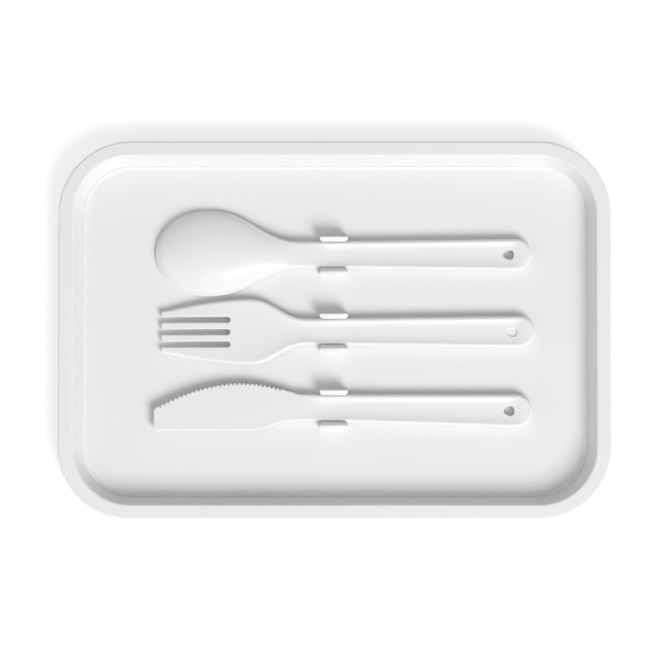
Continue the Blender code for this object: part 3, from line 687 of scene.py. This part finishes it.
def knife_base_edges(x, knife, handle):
    """Edges of the knife's plan without teeth: a back that rises to the neck, and the belly to the heel."""
    turn = (x - knife.straight) / (knife.blade - knife.straight)
    into = np.clip((x - knife.blade) / (knife.length - handle.cap - knife.blade), 0.0, 1.0)
    low = knife.rise * ease(turn) - knife.taper * into + corner_drop(x, knife.corner)
    front = np.where(x < heel_at(knife), knife_belly(x, knife), knife.heel)
    high = front - corner_drop(x, knife.corner)
    middle, half = 0.5 * (low + high), 0.5 * (high - low) * cap_share(x, knife.length, handle)
    return middle - half, middle + half


def tooth_depth(x, knife):
    """Depth of the serration, d(1 - |cos|): round teeth one pitch apart with sharp valleys between them."""
    phase = (x - knife.teeth_start) / knife.pitch
    inside = (x > knife.teeth_start) & (x < knife.teeth_start + knife.teeth_length)
    return np.where(inside, knife.depth * (1.0 - np.abs(np.cos(math.pi * phase))), 0.0)


def blade_share(x, knife):
    """0 along the blade and 1 along the handle, eased over the stretch where the back rises."""
    return ease((x - knife.straight) / (knife.blade - knife.straight))


def knife_bottom(x, y, knife, handle):
    """Underside: the blade thins evenly towards its cutting edge, and the handle is full depth."""
    s = share_across(x, y, lambda at: knife_base_edges(at, knife, handle), 0.0, handle)
    blade = 0.5 * (knife.thickness + knife.edge) - 0.5 * (knife.thickness - knife.edge) * s
    return handle.top - blade - (handle.top - handle.under - blade) * blade_share(x, knife)


def cap_turn(length, handle):
    """Station where the outline of the end cap has turned about half round."""
    return length - handle.cap * (1.0 - 0.5 ** (1.0 / handle.cap_power))


def handle_marks(length, handle, half_rows, fine):
    """Marks and gaps for the stations of a handle's end: rows for the hole's block, then fine rows."""
    hole_at = length - handle.hole_to_end
    reach = fine.hole_reach * handle.hole
    marks = [hole_at - reach, hole_at + reach, cap_turn(length, handle)]
    return marks, [reach / half_rows, fine.fine_row]


def roundings(grow, head, hole, handle):
    """Radii of the upper and lower edges: the head's grow into the handle's, and the hole has its own."""
    inside = points_of(hole)
    top = head.edge_round + (handle.edge_round - head.edge_round) * grow
    low = head.under_round + (handle.under_round - head.under_round) * grow
    return np.where(inside, handle.hole_round, top), np.where(inside, handle.hole_round, low)


def with_hole(plan, x, edges, length, handle, half, cells, rounds):
    """Bends the plan's grid round the hole and gives back the grid and the block of cells inside it."""
    shape = (plan.shape[0] - 1, plan.shape[1] - 1)
    hole_at = length - handle.hole_to_end
    row = int(np.argmin(np.abs(x - hole_at)))
    column = shape[1] // 2
    low, high = edges(np.array([hole_at]))
    middle = (hole_at, 0.5 * float(low[0] + high[0]))
    block = hole_block(shape, row, column, half)
    inside = points_of(block)
    places = hole_points(shape, row, column, half, middle, handle)
    held = inside.copy()
    held[[0, -1], :] = True
    held[:, [0, -1]] = True
    held |= ~points_of(cells)
    rim = np.zeros(held.size, bool)
    rim[rim_of(cells)[0]] = True
    held |= rim.reshape(held.shape)
    moves = np.where(inside[..., None], places - plan, 0.0)
    return plan + spread(moves, held, cells, rounds), block


def build_spoon(sizes, handle, fine):
    """Mesh of the spoon."""
    half = fine.hole_cells
    start = sizes.front * (1.0 - math.sqrt(0.5))
    end_marks, end_gaps = handle_marks(sizes.length, handle, half, fine)
    x = paced([start, *end_marks], [fine.row, *end_gaps])
    across = crowded(fine.columns, fine.crowding)

    def edges(at):
        return spoon_edges(at, sizes, handle)

    plan = plan_grid(x, across, edges, sizes.length)
    cells = np.ones((len(x) - 1, fine.columns), bool)
    plan, hole = with_hole(plan, x, edges, sizes.length, handle, half, cells, fine.settle_rounds)
    grow = ease((plan[..., 0] - sizes.front) / sizes.back)
    round_top, round_low = roundings(grow, sizes, hole, handle)
    return moulding(
        "spoon", plan, hole, np.zeros_like(hole),
        lambda px, py: spoon_top(px, py, sizes, handle),
        lambda px, py: handle.under + bowl_dome(px, py, sizes, handle, sizes.hollow_margin),
        round_top, round_low, np.zeros_like(round_top), handle,
        (SPOON_LOW.x, 0.5 * (SPOON_LOW.y + SPOON_HIGH.y) - sizes.offset, SPOON_LOW.z - handle.under), fine,
    )


def build_fork(sizes, handle, fine):
    """Mesh of the fork."""
    half = fine.tine_columns
    slot_r = 0.5 * sizes.slot
    root = sizes.slot_length - slot_r
    turn = 0.25 * math.pi
    start = sizes.corner * (1.0 - math.sqrt(0.5))
    arc = root + slot_r * np.sin(turn * np.arange(fine.root_rows + 1) / fine.root_rows)
    end_marks, end_gaps = handle_marks(sizes.length, handle, half, fine)
    after = arc[-1] + 2.0 * fine.row
    x = np.concatenate(
        [
            paced([start, sizes.corner, root], [fine.corner_row, fine.row])[:-1],
            arc,
            paced([after, *end_marks], [fine.row, *end_gaps]),
        ]
    )
    across = fork_across(x, sizes, handle, fine)

    def edges(at):
        return fork_edges(at, sizes, handle)

    plan = plan_grid(x, across, edges, sizes.length)
    rows, columns = len(x) - 1, across.shape[1] - 1
    root_row = int(np.argmin(np.abs(x - arc[-1])))
    slots = np.zeros((rows, columns), bool)
    moves = np.zeros_like(plan)
    held = np.zeros(plan.shape[:2], bool)
    held[:, [0, -1]] = True
    held[-1] = True
    for k, centre in enumerate((-sizes.pitch, 0.0, sizes.pitch)):
        first = (2 * k + 1) * fine.tine_columns
        last = first + fine.tine_columns
        slots[:root_row, first:last] = True
        into = np.clip(x[: root_row + 1] - root, 0.0, slot_r)
        narrow = slot_r - np.sqrt(slot_r**2 - into**2)
        corner = corner_drop(x[: root_row + 1], sizes.tine_corner)
        for column, side in ((first, -1.0), (last, 1.0)):
            place = centre + side * (slot_r - narrow + corner)
            moves[: root_row + 1, column, 1] = place - plan[: root_row + 1, column, 1]
            held[: root_row + 1, column] = True
        bend = turn * np.linspace(-1.0, 1.0, fine.tine_columns + 1)
        moves[root_row, first : last + 1, 0] = root + slot_r * np.cos(bend) - x[root_row]
        moves[root_row, first : last + 1, 1] = (
            centre + slot_r * np.sin(bend) - plan[root_row, first : last + 1, 1]
        )
        held[root_row, first : last + 1] = True
    corner_in = sizes.tine_corner * (1.0 - math.sqrt(0.5))
    inner = np.isin(np.arange(columns + 1), np.arange(1, STRIPS) * fine.tine_columns)
    moves[0, inner, 0] = corner_in - plan[0, inner, 0]
    held[0] = True
    kept = ~slots
    plan = plan + spread(moves, held, kept, fine.settle_rounds)
    plan, hole = with_hole(plan, x, edges, sizes.length, handle, half, kept, fine.settle_rounds)

    grow = ease((plan[..., 0] - sizes.front) / sizes.back)
    outer = sizes.slot_round + (sizes.edge_round - sizes.slot_round) * ease(plan[..., 0] / sizes.tip_blend)
    outer = outer + (handle.edge_round - sizes.edge_round) * grow
    round_top = np.where(points_of(slots), sizes.slot_round, outer)
    round_top = np.where(points_of(hole), handle.hole_round, round_top)
    round_low = np.full(round_top.shape, sizes.under_round)

    def top(px, py):
        s = share_across(px, py, edges, sizes.edge_round, handle)
        start_at = sizes.slot_length - 0.5 * handle.dish_ramp
        return fork_edge_height(px, sizes, handle) - dish_depth(px, s, start_at, sizes.length, handle)

    def bottom(px, py):
        deep = ease((px - sizes.front) / sizes.back)
        depth = sizes.thickness + (handle.top - handle.under - sizes.thickness) * deep
        return fork_edge_height(px, sizes, handle) - depth

    return moulding(
        "fork", plan, slots, hole, top, bottom, round_top, round_low, np.zeros_like(round_top),
        handle, (FORK_LOW.x, 0.5 * (FORK_LOW.y + FORK_HIGH.y), FORK_LOW.z - handle.under), fine,
    )


def build_knife(sizes, handle, fine):
    """Mesh of the knife."""
    half = fine.hole_cells
    start = sizes.corner * (1.0 - math.sqrt(0.5))
    teeth_end = sizes.teeth_start + sizes.teeth_length
    end_marks, end_gaps = handle_marks(sizes.length, handle, half, fine)
    x = paced(
        [start, sizes.teeth_start, teeth_end, heel_at(sizes), *end_marks],
        [fine.fine_row, sizes.pitch / fine.tooth_rows, fine.row, fine.row, *end_gaps],
    )
    across = crowded(fine.columns, -fine.crowding)

    def edges(at):
        return knife_base_edges(at, sizes, handle)

    plan = plan_grid(x, across, edges, sizes.length)
    cells = np.ones((len(x) - 1, fine.columns), bool)
    plan, hole = with_hole(plan, x, edges, sizes.length, handle, half, cells, fine.settle_rounds)
    grow = ease((plan[..., 0] - teeth_end) / (sizes.blade - sizes.straight))
    round_top, round_low = roundings(grow, sizes, hole, handle)
    ripple = np.zeros(round_top.shape)
    ripple[:, -1] = tooth_depth(x, sizes)

    def top(px, py):
        s = share_across(px, py, edges, handle.edge_round, handle)
        return handle.top - dish_depth(px, s, sizes.blade, sizes.length, handle)

    return moulding(
        "knife", plan, hole, np.zeros_like(hole), top,
        lambda px, py: knife_bottom(px, py, sizes, handle),
        round_top, round_low, ripple, handle, (KNIFE_LOW.x, KNIFE_LOW.y, SPOON_LOW.z - handle.under), fine,
    )


def fillet(before, corner, after, radius, steps, support):
    """An arc that rounds a corner, with one more point on each straight line just past its ends."""
    corner = np.array(corner)
    one, two = np.array(before) - corner, np.array(after) - corner
    one, two = one / np.linalg.norm(one), two / np.linalg.norm(two)
    half = 0.5 * math.acos(np.clip(one @ two, -1.0, 1.0))
    centre = corner + (one + two) / np.linalg.norm(one + two) * radius / math.sin(half)
    reach = radius / math.tan(half)
    sweep = math.pi - 2.0 * half
    t = np.linspace(0.0, 1.0, steps + 1)[:, None]
    arm_one, arm_two = corner + one * reach - centre, corner + two * reach - centre
    arc = centre + (arm_one * np.sin(sweep * (1.0 - t)) + arm_two * np.sin(sweep * t)) / math.sin(sweep)
    return np.vstack([corner + one * (reach + support), arc, corner + two * (reach + support)])


def tray_section(tray):
    """The tray's section as rows of (inset from the skirt's foot, height), from the floor round to the base.

    It starts with the hollow foot, part of a circle that is level where it meets the floor, and the ledge's
    swell, b sin(pi t).
    """
    rim, ledge = TRAY_HIGH.z, tray.floor + tray.ledge
    wall_top = tray.skirt_draft + tray.rim
    wall_foot = wall_top + tray.draft
    slope = tray.draft / (rim - ledge)
    wall_across = tray.wall * math.hypot(1.0, slope)
    skirt_slope = tray.skirt_draft / (rim - tray.skirt_lift)

    def wall_back(height):
        return wall_top + slope * (rim - height) - wall_across

    roof = rim - tray.rim_thickness
    corners = [
        ((wall_foot, ledge), 0.0),
        ((wall_top, rim), tray.well_round),
        ((tray.skirt_draft, rim), tray.rim_round),
        ((0.0, tray.skirt_lift), tray.small_round),
        ((tray.skirt, tray.skirt_lift), tray.small_round),
        ((tray.skirt + skirt_slope * (roof - tray.skirt_lift), roof), tray.small_round),
        ((wall_back(roof), roof), tray.small_round),
        ((wall_back(0.0), 0.0), tray.base_round),
        ((wall_back(0.0) + tray.base_margin, 0.0), 0.0),
    ]
    turn = math.acos(1.0 - tray.ledge / tray.foot_round) * np.linspace(0.0, 1.0, tray.arc_steps + 1)
    level_at = wall_foot + tray.ledge_width + tray.foot_round * math.sin(turn[-1])
    foot = tray.foot_round * np.column_stack([-np.sin(turn), 1.0 - np.cos(turn)])
    t = np.linspace(0.0, 1.0, tray.arc_steps + 1)[1:]
    bead = np.column_stack([-tray.ledge_width * t, tray.bead * np.sin(math.pi * t)])
    rows = [
        np.array([[level_at + tray.floor_margin, tray.floor]]),
        foot + (level_at, tray.floor),
        bead + (wall_foot + tray.ledge_width, ledge),
    ]
    for before, (corner, radius), after in zip(corners, corners[1:], corners[2:]):
        rows.append(fillet(before[0], corner, after[0], radius, tray.arc_steps, tray.level_row))
    rows.append(np.array([corners[-1][0]]))
    return np.vstack(rows)


def carried_round(section, length, width, radius, corner_steps, side_steps):
    """Points of a section carried round a rounded rectangle: arc centre + normal x (radius - inset)."""
    centres, normals = [], []
    turn = 0.5 * math.pi * np.arange(corner_steps + 1) / corner_steps
    reach = np.array([0.5 * length - radius, 0.5 * width - radius])
    signs = np.array([[1.0, 1.0], [-1.0, 1.0], [-1.0, -1.0], [1.0, -1.0]])
    for quarter in range(4):
        here, following = signs[quarter] * reach, signs[(quarter + 1) % 4] * reach
        angle = turn + 0.5 * math.pi * quarter
        centres.append(np.broadcast_to(here, (corner_steps + 1, 2)))
        normals.append(np.column_stack([np.cos(angle), np.sin(angle)]))
        t = (np.arange(1, side_steps) / side_steps)[:, None]
        centres.append(here + (following - here) * t)
        normals.append(np.broadcast_to(normals[-1][-1], (side_steps - 1, 2)))
    centres, normals = np.vstack(centres), np.vstack(normals)
    plan = centres + normals * (radius - section[:, :1, None])
    heights = np.broadcast_to(section[:, 1, None, None], (*plan.shape[:2], 1))
    return np.concatenate([plan, heights], axis=2)


def build_tray(tray):
    """Mesh of the tray without its clips: the carried section, closed by its flat floor and base."""
    section = tray_section(tray)
    length, width = TRAY_HIGH.x - TRAY_LOW.x, TRAY_HIGH.y - TRAY_LOW.y
    rings = carried_round(section, length, width, tray.corner, tray.corner_steps, tray.side_steps)
    loops, around = rings.shape[:2]
    ids = np.arange(loops * around).reshape(loops, around)
    ahead = np.roll(ids, -1, axis=1)
    quads = np.stack([ids[:-1], ids[1:], ahead[1:], ahead[:-1]], axis=2).reshape(-1, 4)
    faces = [quads, ids[:1], ids[-1:, ::-1]]
    return make_mesh("tray", rings.reshape(-1, 3), faces)


def build_clips(clip, tray, handle, spoon, fork, knife):
    """Mesh of the six clips: a section in steps of (distance out, height, shortening) along each handle."""
    under = tray.floor + handle.top + clip.clearance
    ridge = under + clip.tip + clip.lead_in
    back = clip.clearance + clip.thickness
    reach = clip.clearance + clip.overlap
    over = reach / clip.lead_in
    t = np.concatenate([np.linspace(0.0, over, clip.steps + 1), np.linspace(over, 1.0, clip.steps)[1:]])
    out = -clip.overlap + clip.lead_in * t
    climb = clip.lead_in * (t + clip.bulge * t * (1.0 - t))
    shorter = clip.corner * np.maximum(clip.clearance - out, 0.0) / reach
    section = np.vstack(
        [
            (clip.clearance, 0.5 * tray.floor, 0.0),
            (clip.clearance, under, 0.0),
            (-clip.overlap, under, clip.corner),
            np.column_stack([out, under + clip.tip + climb, shorter]),
            (back, ridge, 0.0),
            (back + clip.draft, 0.5 * tray.floor, 0.0),
        ]
    )
    middle = KNIFE_LOW.x + clip.to_nose
    span = 0.5 * clip.length * np.array([-1.0, 0.0, 1.0])
    lines = []
    for tip, base_y, edges, piece in (
        (SPOON_LOW.x, 0.5 * (SPOON_LOW.y + SPOON_HIGH.y) - spoon.offset, spoon_edges, spoon),
        (FORK_LOW.x, 0.5 * (FORK_LOW.y + FORK_HIGH.y), fork_edges, fork),
        (KNIFE_LOW.x, KNIFE_LOW.y, knife_base_edges, knife),
    ):
        low, high = edges(middle - tip + span, piece, handle)
        lines += [(base_y + low.min(), -1.0), (base_y + high.max(), 1.0)]
    out, height, shorter = section.T
    points = [
        np.column_stack([middle + end * (0.5 * clip.length - shorter), line + side * out, height])
        for line, side in lines
        for end in (-1.0, 1.0)
    ]
    count_of = len(section)
    one = np.arange(count_of)
    sides = np.stack([one, one + count_of, np.roll(one, -1) + count_of, np.roll(one, -1)], axis=1)
    hook = np.arange(1, clip.steps + 4)[None]
    flank = np.array([[0, 1, *range(clip.steps + 3, count_of)]])
    shift = 2 * count_of * np.arange(len(lines))[:, None, None]
    faces = [
        (sides[None] + shift).reshape(-1, 4),
        (np.vstack([flank, flank + count_of])[None] + shift).reshape(-1, flank.size),
        (np.vstack([hook, hook + count_of])[None] + shift).reshape(-1, hook.size),
    ]
    mesh = make_mesh("clips", np.vstack(points), faces)
    turned = bmesh.new()
    turned.from_mesh(mesh)
    bmesh.ops.recalc_face_normals(turned, faces=turned.faces)
    turned.to_mesh(mesh)
    turned.free()
    return mesh


def joined(base, added, clip):
    """Mesh of a base with another mesh joined to it, whose edges are rounded first as a clip's are."""
    holder, tool = bpy.data.objects.new("base", base), bpy.data.objects.new("added", added)
    for obj in (holder, tool):
        bpy.context.scene.collection.objects.link(obj)
    bevel = tool.modifiers.new("rounding", "BEVEL")
    bevel.width = clip.rounding
    bevel.segments = clip.round_steps
    bevel.limit_method = "ANGLE"
    bevel.angle_limit = math.radians(clip.least_turn)
    union = holder.modifiers.new("union", "BOOLEAN")
    union.operation = "UNION"
    union.object = tool
    graph = bpy.context.evaluated_depsgraph_get()
    result = bpy.data.meshes.new_from_object(holder.evaluated_get(graph))
    bpy.data.objects.remove(holder)
    bpy.data.objects.remove(tool)
    result.shade_smooth()
    result.set_sharp_from_angle(angle=math.radians(clip.crease))
    return result


def add_node(tree, kind, **values):
    """A node with its named input values and properties set."""
    node = tree.nodes.new(kind)
    for key, value in values.items():
        if key in node.inputs:
            node.inputs[key].default_value = value
        else:
            setattr(node, key, value)
    return node


def gloss_white(name, tint, roughness, finish):
    """Glossy moulded plastic: a faint cloudiness in colour and gloss, and a very fine unevenness."""
    material = bpy.data.materials.new(name)
    material.use_nodes = True
    tree = material.node_tree
    shader = tree.nodes["Principled BSDF"]
    place = add_node(tree, "ShaderNodeTexCoord").outputs["Object"]

    cloud = add_node(tree, "ShaderNodeTexNoise", Scale=38.0, Detail=3.0, Roughness=0.55)
    tree.links.new(place, cloud.inputs["Vector"])
    tone = add_node(tree, "ShaderNodeMix", data_type="RGBA")
    tone.inputs["A"].default_value = (*(finish.cloud * channel for channel in tint), 1.0)
    tone.inputs["B"].default_value = (*tint, 1.0)
    tree.links.new(cloud.outputs["Fac"], tone.inputs["Factor"])
    tree.links.new(tone.outputs["Result"], shader.inputs["Base Color"])

    haze = add_node(tree, "ShaderNodeTexNoise", Scale=160.0, Detail=4.0, Roughness=0.6)
    tree.links.new(place, haze.inputs["Vector"])
    gloss = add_node(tree, "ShaderNodeMapRange")
    gloss.inputs["To Min"].default_value = roughness - finish.haze
    gloss.inputs["To Max"].default_value = roughness + finish.haze
    tree.links.new(haze.outputs["Fac"], gloss.inputs["Value"])
    tree.links.new(gloss.outputs["Result"], shader.inputs["Roughness"])

    grain = add_node(tree, "ShaderNodeTexNoise", Scale=1400.0, Detail=2.0)
    tree.links.new(place, grain.inputs["Vector"])
    bump = add_node(tree, "ShaderNodeBump", Strength=0.03, Distance=0.0001)
    tree.links.new(grain.outputs["Fac"], bump.inputs["Height"])
    tree.links.new(bump.outputs["Normal"], shader.inputs["Normal"])
    return material


def seen_directly(tree):
    """Output that is 1 for camera, glossy and transmission rays, and 0 for the light that falls on things."""
    path = add_node(tree, "ShaderNodeLightPath")
    either = add_node(tree, "ShaderNodeMath", operation="MAXIMUM")
    tree.links.new(path.outputs["Is Camera Ray"], either.inputs[0])
    tree.links.new(path.outputs["Is Glossy Ray"], either.inputs[1])
    any_of = add_node(tree, "ShaderNodeMath", operation="MAXIMUM")
    tree.links.new(either.outputs[0], any_of.inputs[0])
    tree.links.new(path.outputs["Is Transmission Ray"], any_of.inputs[1])
    return any_of.outputs[0]


def floor_material(stage):
    """White floor: seen directly it is half diffuse, half plain white, so it stays white and keeps a shadow.

    From below it is clear, so that the tray's underside can be seen.
    """
    material = bpy.data.materials.new("white_floor")
    material.use_nodes = True
    tree = material.node_tree
    tree.nodes.remove(tree.nodes["Principled BSDF"])
    lit = add_node(tree, "ShaderNodeBsdfDiffuse", Color=(*(stage.floor_colour,) * 3, 1.0))
    glow = add_node(tree, "ShaderNodeEmission", Strength=stage.floor_glow)
    seen = add_node(tree, "ShaderNodeAddShader")
    tree.links.new(lit.outputs[0], seen.inputs[0])
    tree.links.new(glow.outputs[0], seen.inputs[1])
    bounce = add_node(tree, "ShaderNodeBsdfDiffuse", Color=(*(stage.bounce,) * 3, 1.0))
    choose = add_node(tree, "ShaderNodeMixShader")
    tree.links.new(seen_directly(tree), choose.inputs[0])
    tree.links.new(bounce.outputs[0], choose.inputs[1])
    tree.links.new(seen.outputs[0], choose.inputs[2])
    below = add_node(tree, "ShaderNodeNewGeometry").outputs["Backfacing"]
    one_sided = add_node(tree, "ShaderNodeMixShader")
    tree.links.new(below, one_sided.inputs[0])
    tree.links.new(choose.outputs[0], one_sided.inputs[1])
    tree.links.new(add_node(tree, "ShaderNodeBsdfTransparent").outputs[0], one_sided.inputs[2])
    tree.links.new(one_sided.outputs[0], tree.nodes["Material Output"].inputs["Surface"])
    return material


def build_floor(stage):
    """A wide flat floor under the tray."""
    plan = 0.5 * stage.floor_side * np.array([[-1.0, -1.0], [1.0, -1.0], [1.0, 1.0], [-1.0, 1.0]])
    corners = np.column_stack([plan, np.full(4, -stage.floor_gap)])
    floor = bpy.data.objects.new("floor", make_mesh("floor", corners, [np.arange(4)[None]]))
    floor.data.materials.append(floor_material(stage))
    bpy.context.scene.collection.objects.link(floor)


def build_world(stage):
    """White surroundings: dimmer as light, and plain white where they are seen."""
    world = bpy.data.worlds.new("studio")
    world.use_nodes = True
    tree = world.node_tree
    backdrop = tree.nodes["Background"]
    backdrop.inputs["Color"].default_value = (1.0, 1.0, 1.0, 1.0)
    level = add_node(tree, "ShaderNodeMath", operation="MULTIPLY_ADD")
    tree.links.new(seen_directly(tree), level.inputs[0])
    level.inputs[1].default_value = 1.0 - stage.ambient
    level.inputs[2].default_value = stage.ambient
    tree.links.new(level.outputs[0], backdrop.inputs["Strength"])
    bpy.context.scene.world = world


def towards(azimuth, elevation):
    """Unit vector to a place at this azimuth from +X and elevation, in degrees."""
    a, e = math.radians(azimuth), math.radians(elevation)
    return Vector((math.cos(a) * math.cos(e), math.sin(a) * math.cos(e), math.sin(e)))


def build_lamp(name, power, side, distance, azimuth, elevation):
    """Soft square lamp that faces the tray's middle."""
    light = bpy.data.lights.new(name, "AREA")
    light.shape = "SQUARE"
    light.size = side
    light.energy = power
    lamp = bpy.data.objects.new(name, light)
    way = towards(azimuth, elevation)
    lamp.location = way * distance
    lamp.rotation_euler = way.to_track_quat("Z", "Y").to_euler()
    bpy.context.scene.collection.objects.link(lamp)
    return lamp


def build_lamps(stage):
    """Key lamp in front of the tray on the right, a small lamp above it, and a weak fill lamp on the left.

    The gloss reflects the small lamp instead of the key lamp.
    """
    key = build_lamp(
        "key", stage.key_power, stage.key_size, stage.key_distance, stage.key_azimuth, stage.key_elevation
    )
    key.visible_glossy = False
    sheen = build_lamp(
        "sheen", stage.sheen_power, stage.sheen_size, stage.key_distance, stage.sheen_azimuth,
        stage.sheen_elevation,
    )
    sheen.visible_diffuse = False
    build_lamp(
        "fill", stage.fill_power, stage.fill_size, stage.fill_distance, stage.fill_azimuth,
        stage.fill_elevation,
    )


def build_camera(stage):
    """Camera that looks down on the tray, a little from the knife's side."""
    lens = bpy.data.cameras.new("camera")
    lens.sensor_width = 36.0
    lens.lens = lens.sensor_width * stage.distance / stage.frame_width
    lens.clip_start = 0.01
    lens.clip_end = 20.0
    camera = bpy.data.objects.new("camera", lens)
    way = towards(stage.camera_azimuth, stage.elevation)
    camera.location = Vector((stage.aim_x, stage.aim_y, TRAY_HIGH.z)) + way * stage.distance
    camera.rotation_euler = way.to_track_quat("Z", "Y").to_euler()
    bpy.context.scene.collection.objects.link(camera)
    bpy.context.scene.camera = camera


def show_cutlery(pack, name, build):
    """Adds one piece of cutlery, in a plastic of its own."""
    mesh = build(getattr(pack, name), pack.handle, pack.fine)
    finish = pack.finish
    material = gloss_white(f"{name}_plastic", finish.cutlery_colour, finish.cutlery_gloss, finish)
    show(f"{name}_moulding", mesh, material, f"{name}_plastic", name)


class CUTLERY_OT_tray(bpy.types.Operator):
    """Builds the tray with its six clips"""

    bl_idname = "cutlery.tray"
    bl_label = "Tray"

    def execute(self, context):
        pack = context.scene.cutlery_pack
        clips = build_clips(pack.clip, pack.tray, pack.handle, pack.spoon, pack.fork, pack.knife)
        mesh = joined(build_tray(pack.tray), clips, pack.clip)
        finish = pack.finish
        material = gloss_white("tray_plastic", finish.tray_colour, finish.tray_gloss, finish)
        show("tray_moulding", mesh, material, "tray_plastic", "tray")
        return {"FINISHED"}


class CUTLERY_OT_spoon(bpy.types.Operator):
    """Builds the spoon"""

    bl_idname = "cutlery.spoon"
    bl_label = "Spoon"

    def execute(self, context):
        show_cutlery(context.scene.cutlery_pack, "spoon", build_spoon)
        return {"FINISHED"}


class CUTLERY_OT_fork(bpy.types.Operator):
    """Builds the fork"""

    bl_idname = "cutlery.fork"
    bl_label = "Fork"

    def execute(self, context):
        show_cutlery(context.scene.cutlery_pack, "fork", build_fork)
        return {"FINISHED"}


class CUTLERY_OT_knife(bpy.types.Operator):
    """Builds the knife"""

    bl_idname = "cutlery.knife"
    bl_label = "Knife"

    def execute(self, context):
        show_cutlery(context.scene.cutlery_pack, "knife", build_knife)
        return {"FINISHED"}


class CUTLERY_OT_stage(bpy.types.Operator):
    """Builds the floor, the surroundings, the lamps and the camera"""

    bl_idname = "cutlery.stage"
    bl_label = "Stage"

    def execute(self, context):
        stage = context.scene.cutlery_pack.stage
        build_floor(stage)
        build_world(stage)
        build_lamps(stage)
        build_camera(stage)
        context.scene.view_settings.view_transform = "Standard"
        return {"FINISHED"}


class CutleryPack(bpy.types.PropertyGroup):
    """Everything that a user can set."""

    tray: PointerProperty(type=TraySizes, name="Tray", description="Sizes of the tray")
    clip: PointerProperty(type=ClipSizes, name="Clips", description="Sizes of the clips")
    handle: PointerProperty(type=HandleSizes, name="Handles", description="Sizes of the handles")
    spoon: PointerProperty(type=SpoonSizes, name="Spoon", description="Sizes of the spoon")
    fork: PointerProperty(type=ForkSizes, name="Fork", description="Sizes of the fork")
    knife: PointerProperty(type=KnifeSizes, name="Knife", description="Sizes of the knife")
    fine: PointerProperty(type=Fineness, name="Fineness", description="Fineness of the grids")
    finish: PointerProperty(type=Finish, name="Finish", description="Colours and gloss")
    stage: PointerProperty(type=StageSizes, name="Stage", description="Camera, lamps and floor")


OPERATORS = (CUTLERY_OT_tray, CUTLERY_OT_spoon, CUTLERY_OT_fork, CUTLERY_OT_knife, CUTLERY_OT_stage)
GROUPS = (
    TraySizes, ClipSizes, HandleSizes, SpoonSizes, ForkSizes, KnifeSizes, Fineness, Finish, StageSizes,
    CutleryPack,
)


class CUTLERY_PT_pack(bpy.types.Panel):
    """Panel in the sidebar with the operators and their settings"""

    bl_idname = "CUTLERY_PT_pack"
    bl_label = "Cutlery Pack"
    bl_space_type = "VIEW_3D"
    bl_region_type = "UI"
    bl_category = "Cutlery Pack"

    def draw(self, context):
        for operator in OPERATORS:
            self.layout.operator(operator.bl_idname)
        pack = context.scene.cutlery_pack
        for name in CutleryPack.__annotations__:
            box = self.layout.box()
            box.label(text=name.capitalize())
            group = getattr(pack, name)
            for setting in type(group).__annotations__:
                box.prop(group, setting)


def register():
    for cls in (*GROUPS, *OPERATORS, CUTLERY_PT_pack):
        bpy.utils.register_class(cls)
    bpy.types.Scene.cutlery_pack = PointerProperty(type=CutleryPack)


def unregister():
    del bpy.types.Scene.cutlery_pack
    for cls in reversed((*GROUPS, *OPERATORS, CUTLERY_PT_pack)):
        bpy.utils.unregister_class(cls)


def main():
    register()
    bpy.ops.cutlery.tray()
    bpy.ops.cutlery.spoon()
    bpy.ops.cutlery.fork()
    bpy.ops.cutlery.knife()
    bpy.ops.cutlery.stage()


if __name__ == "__main__":
    main()
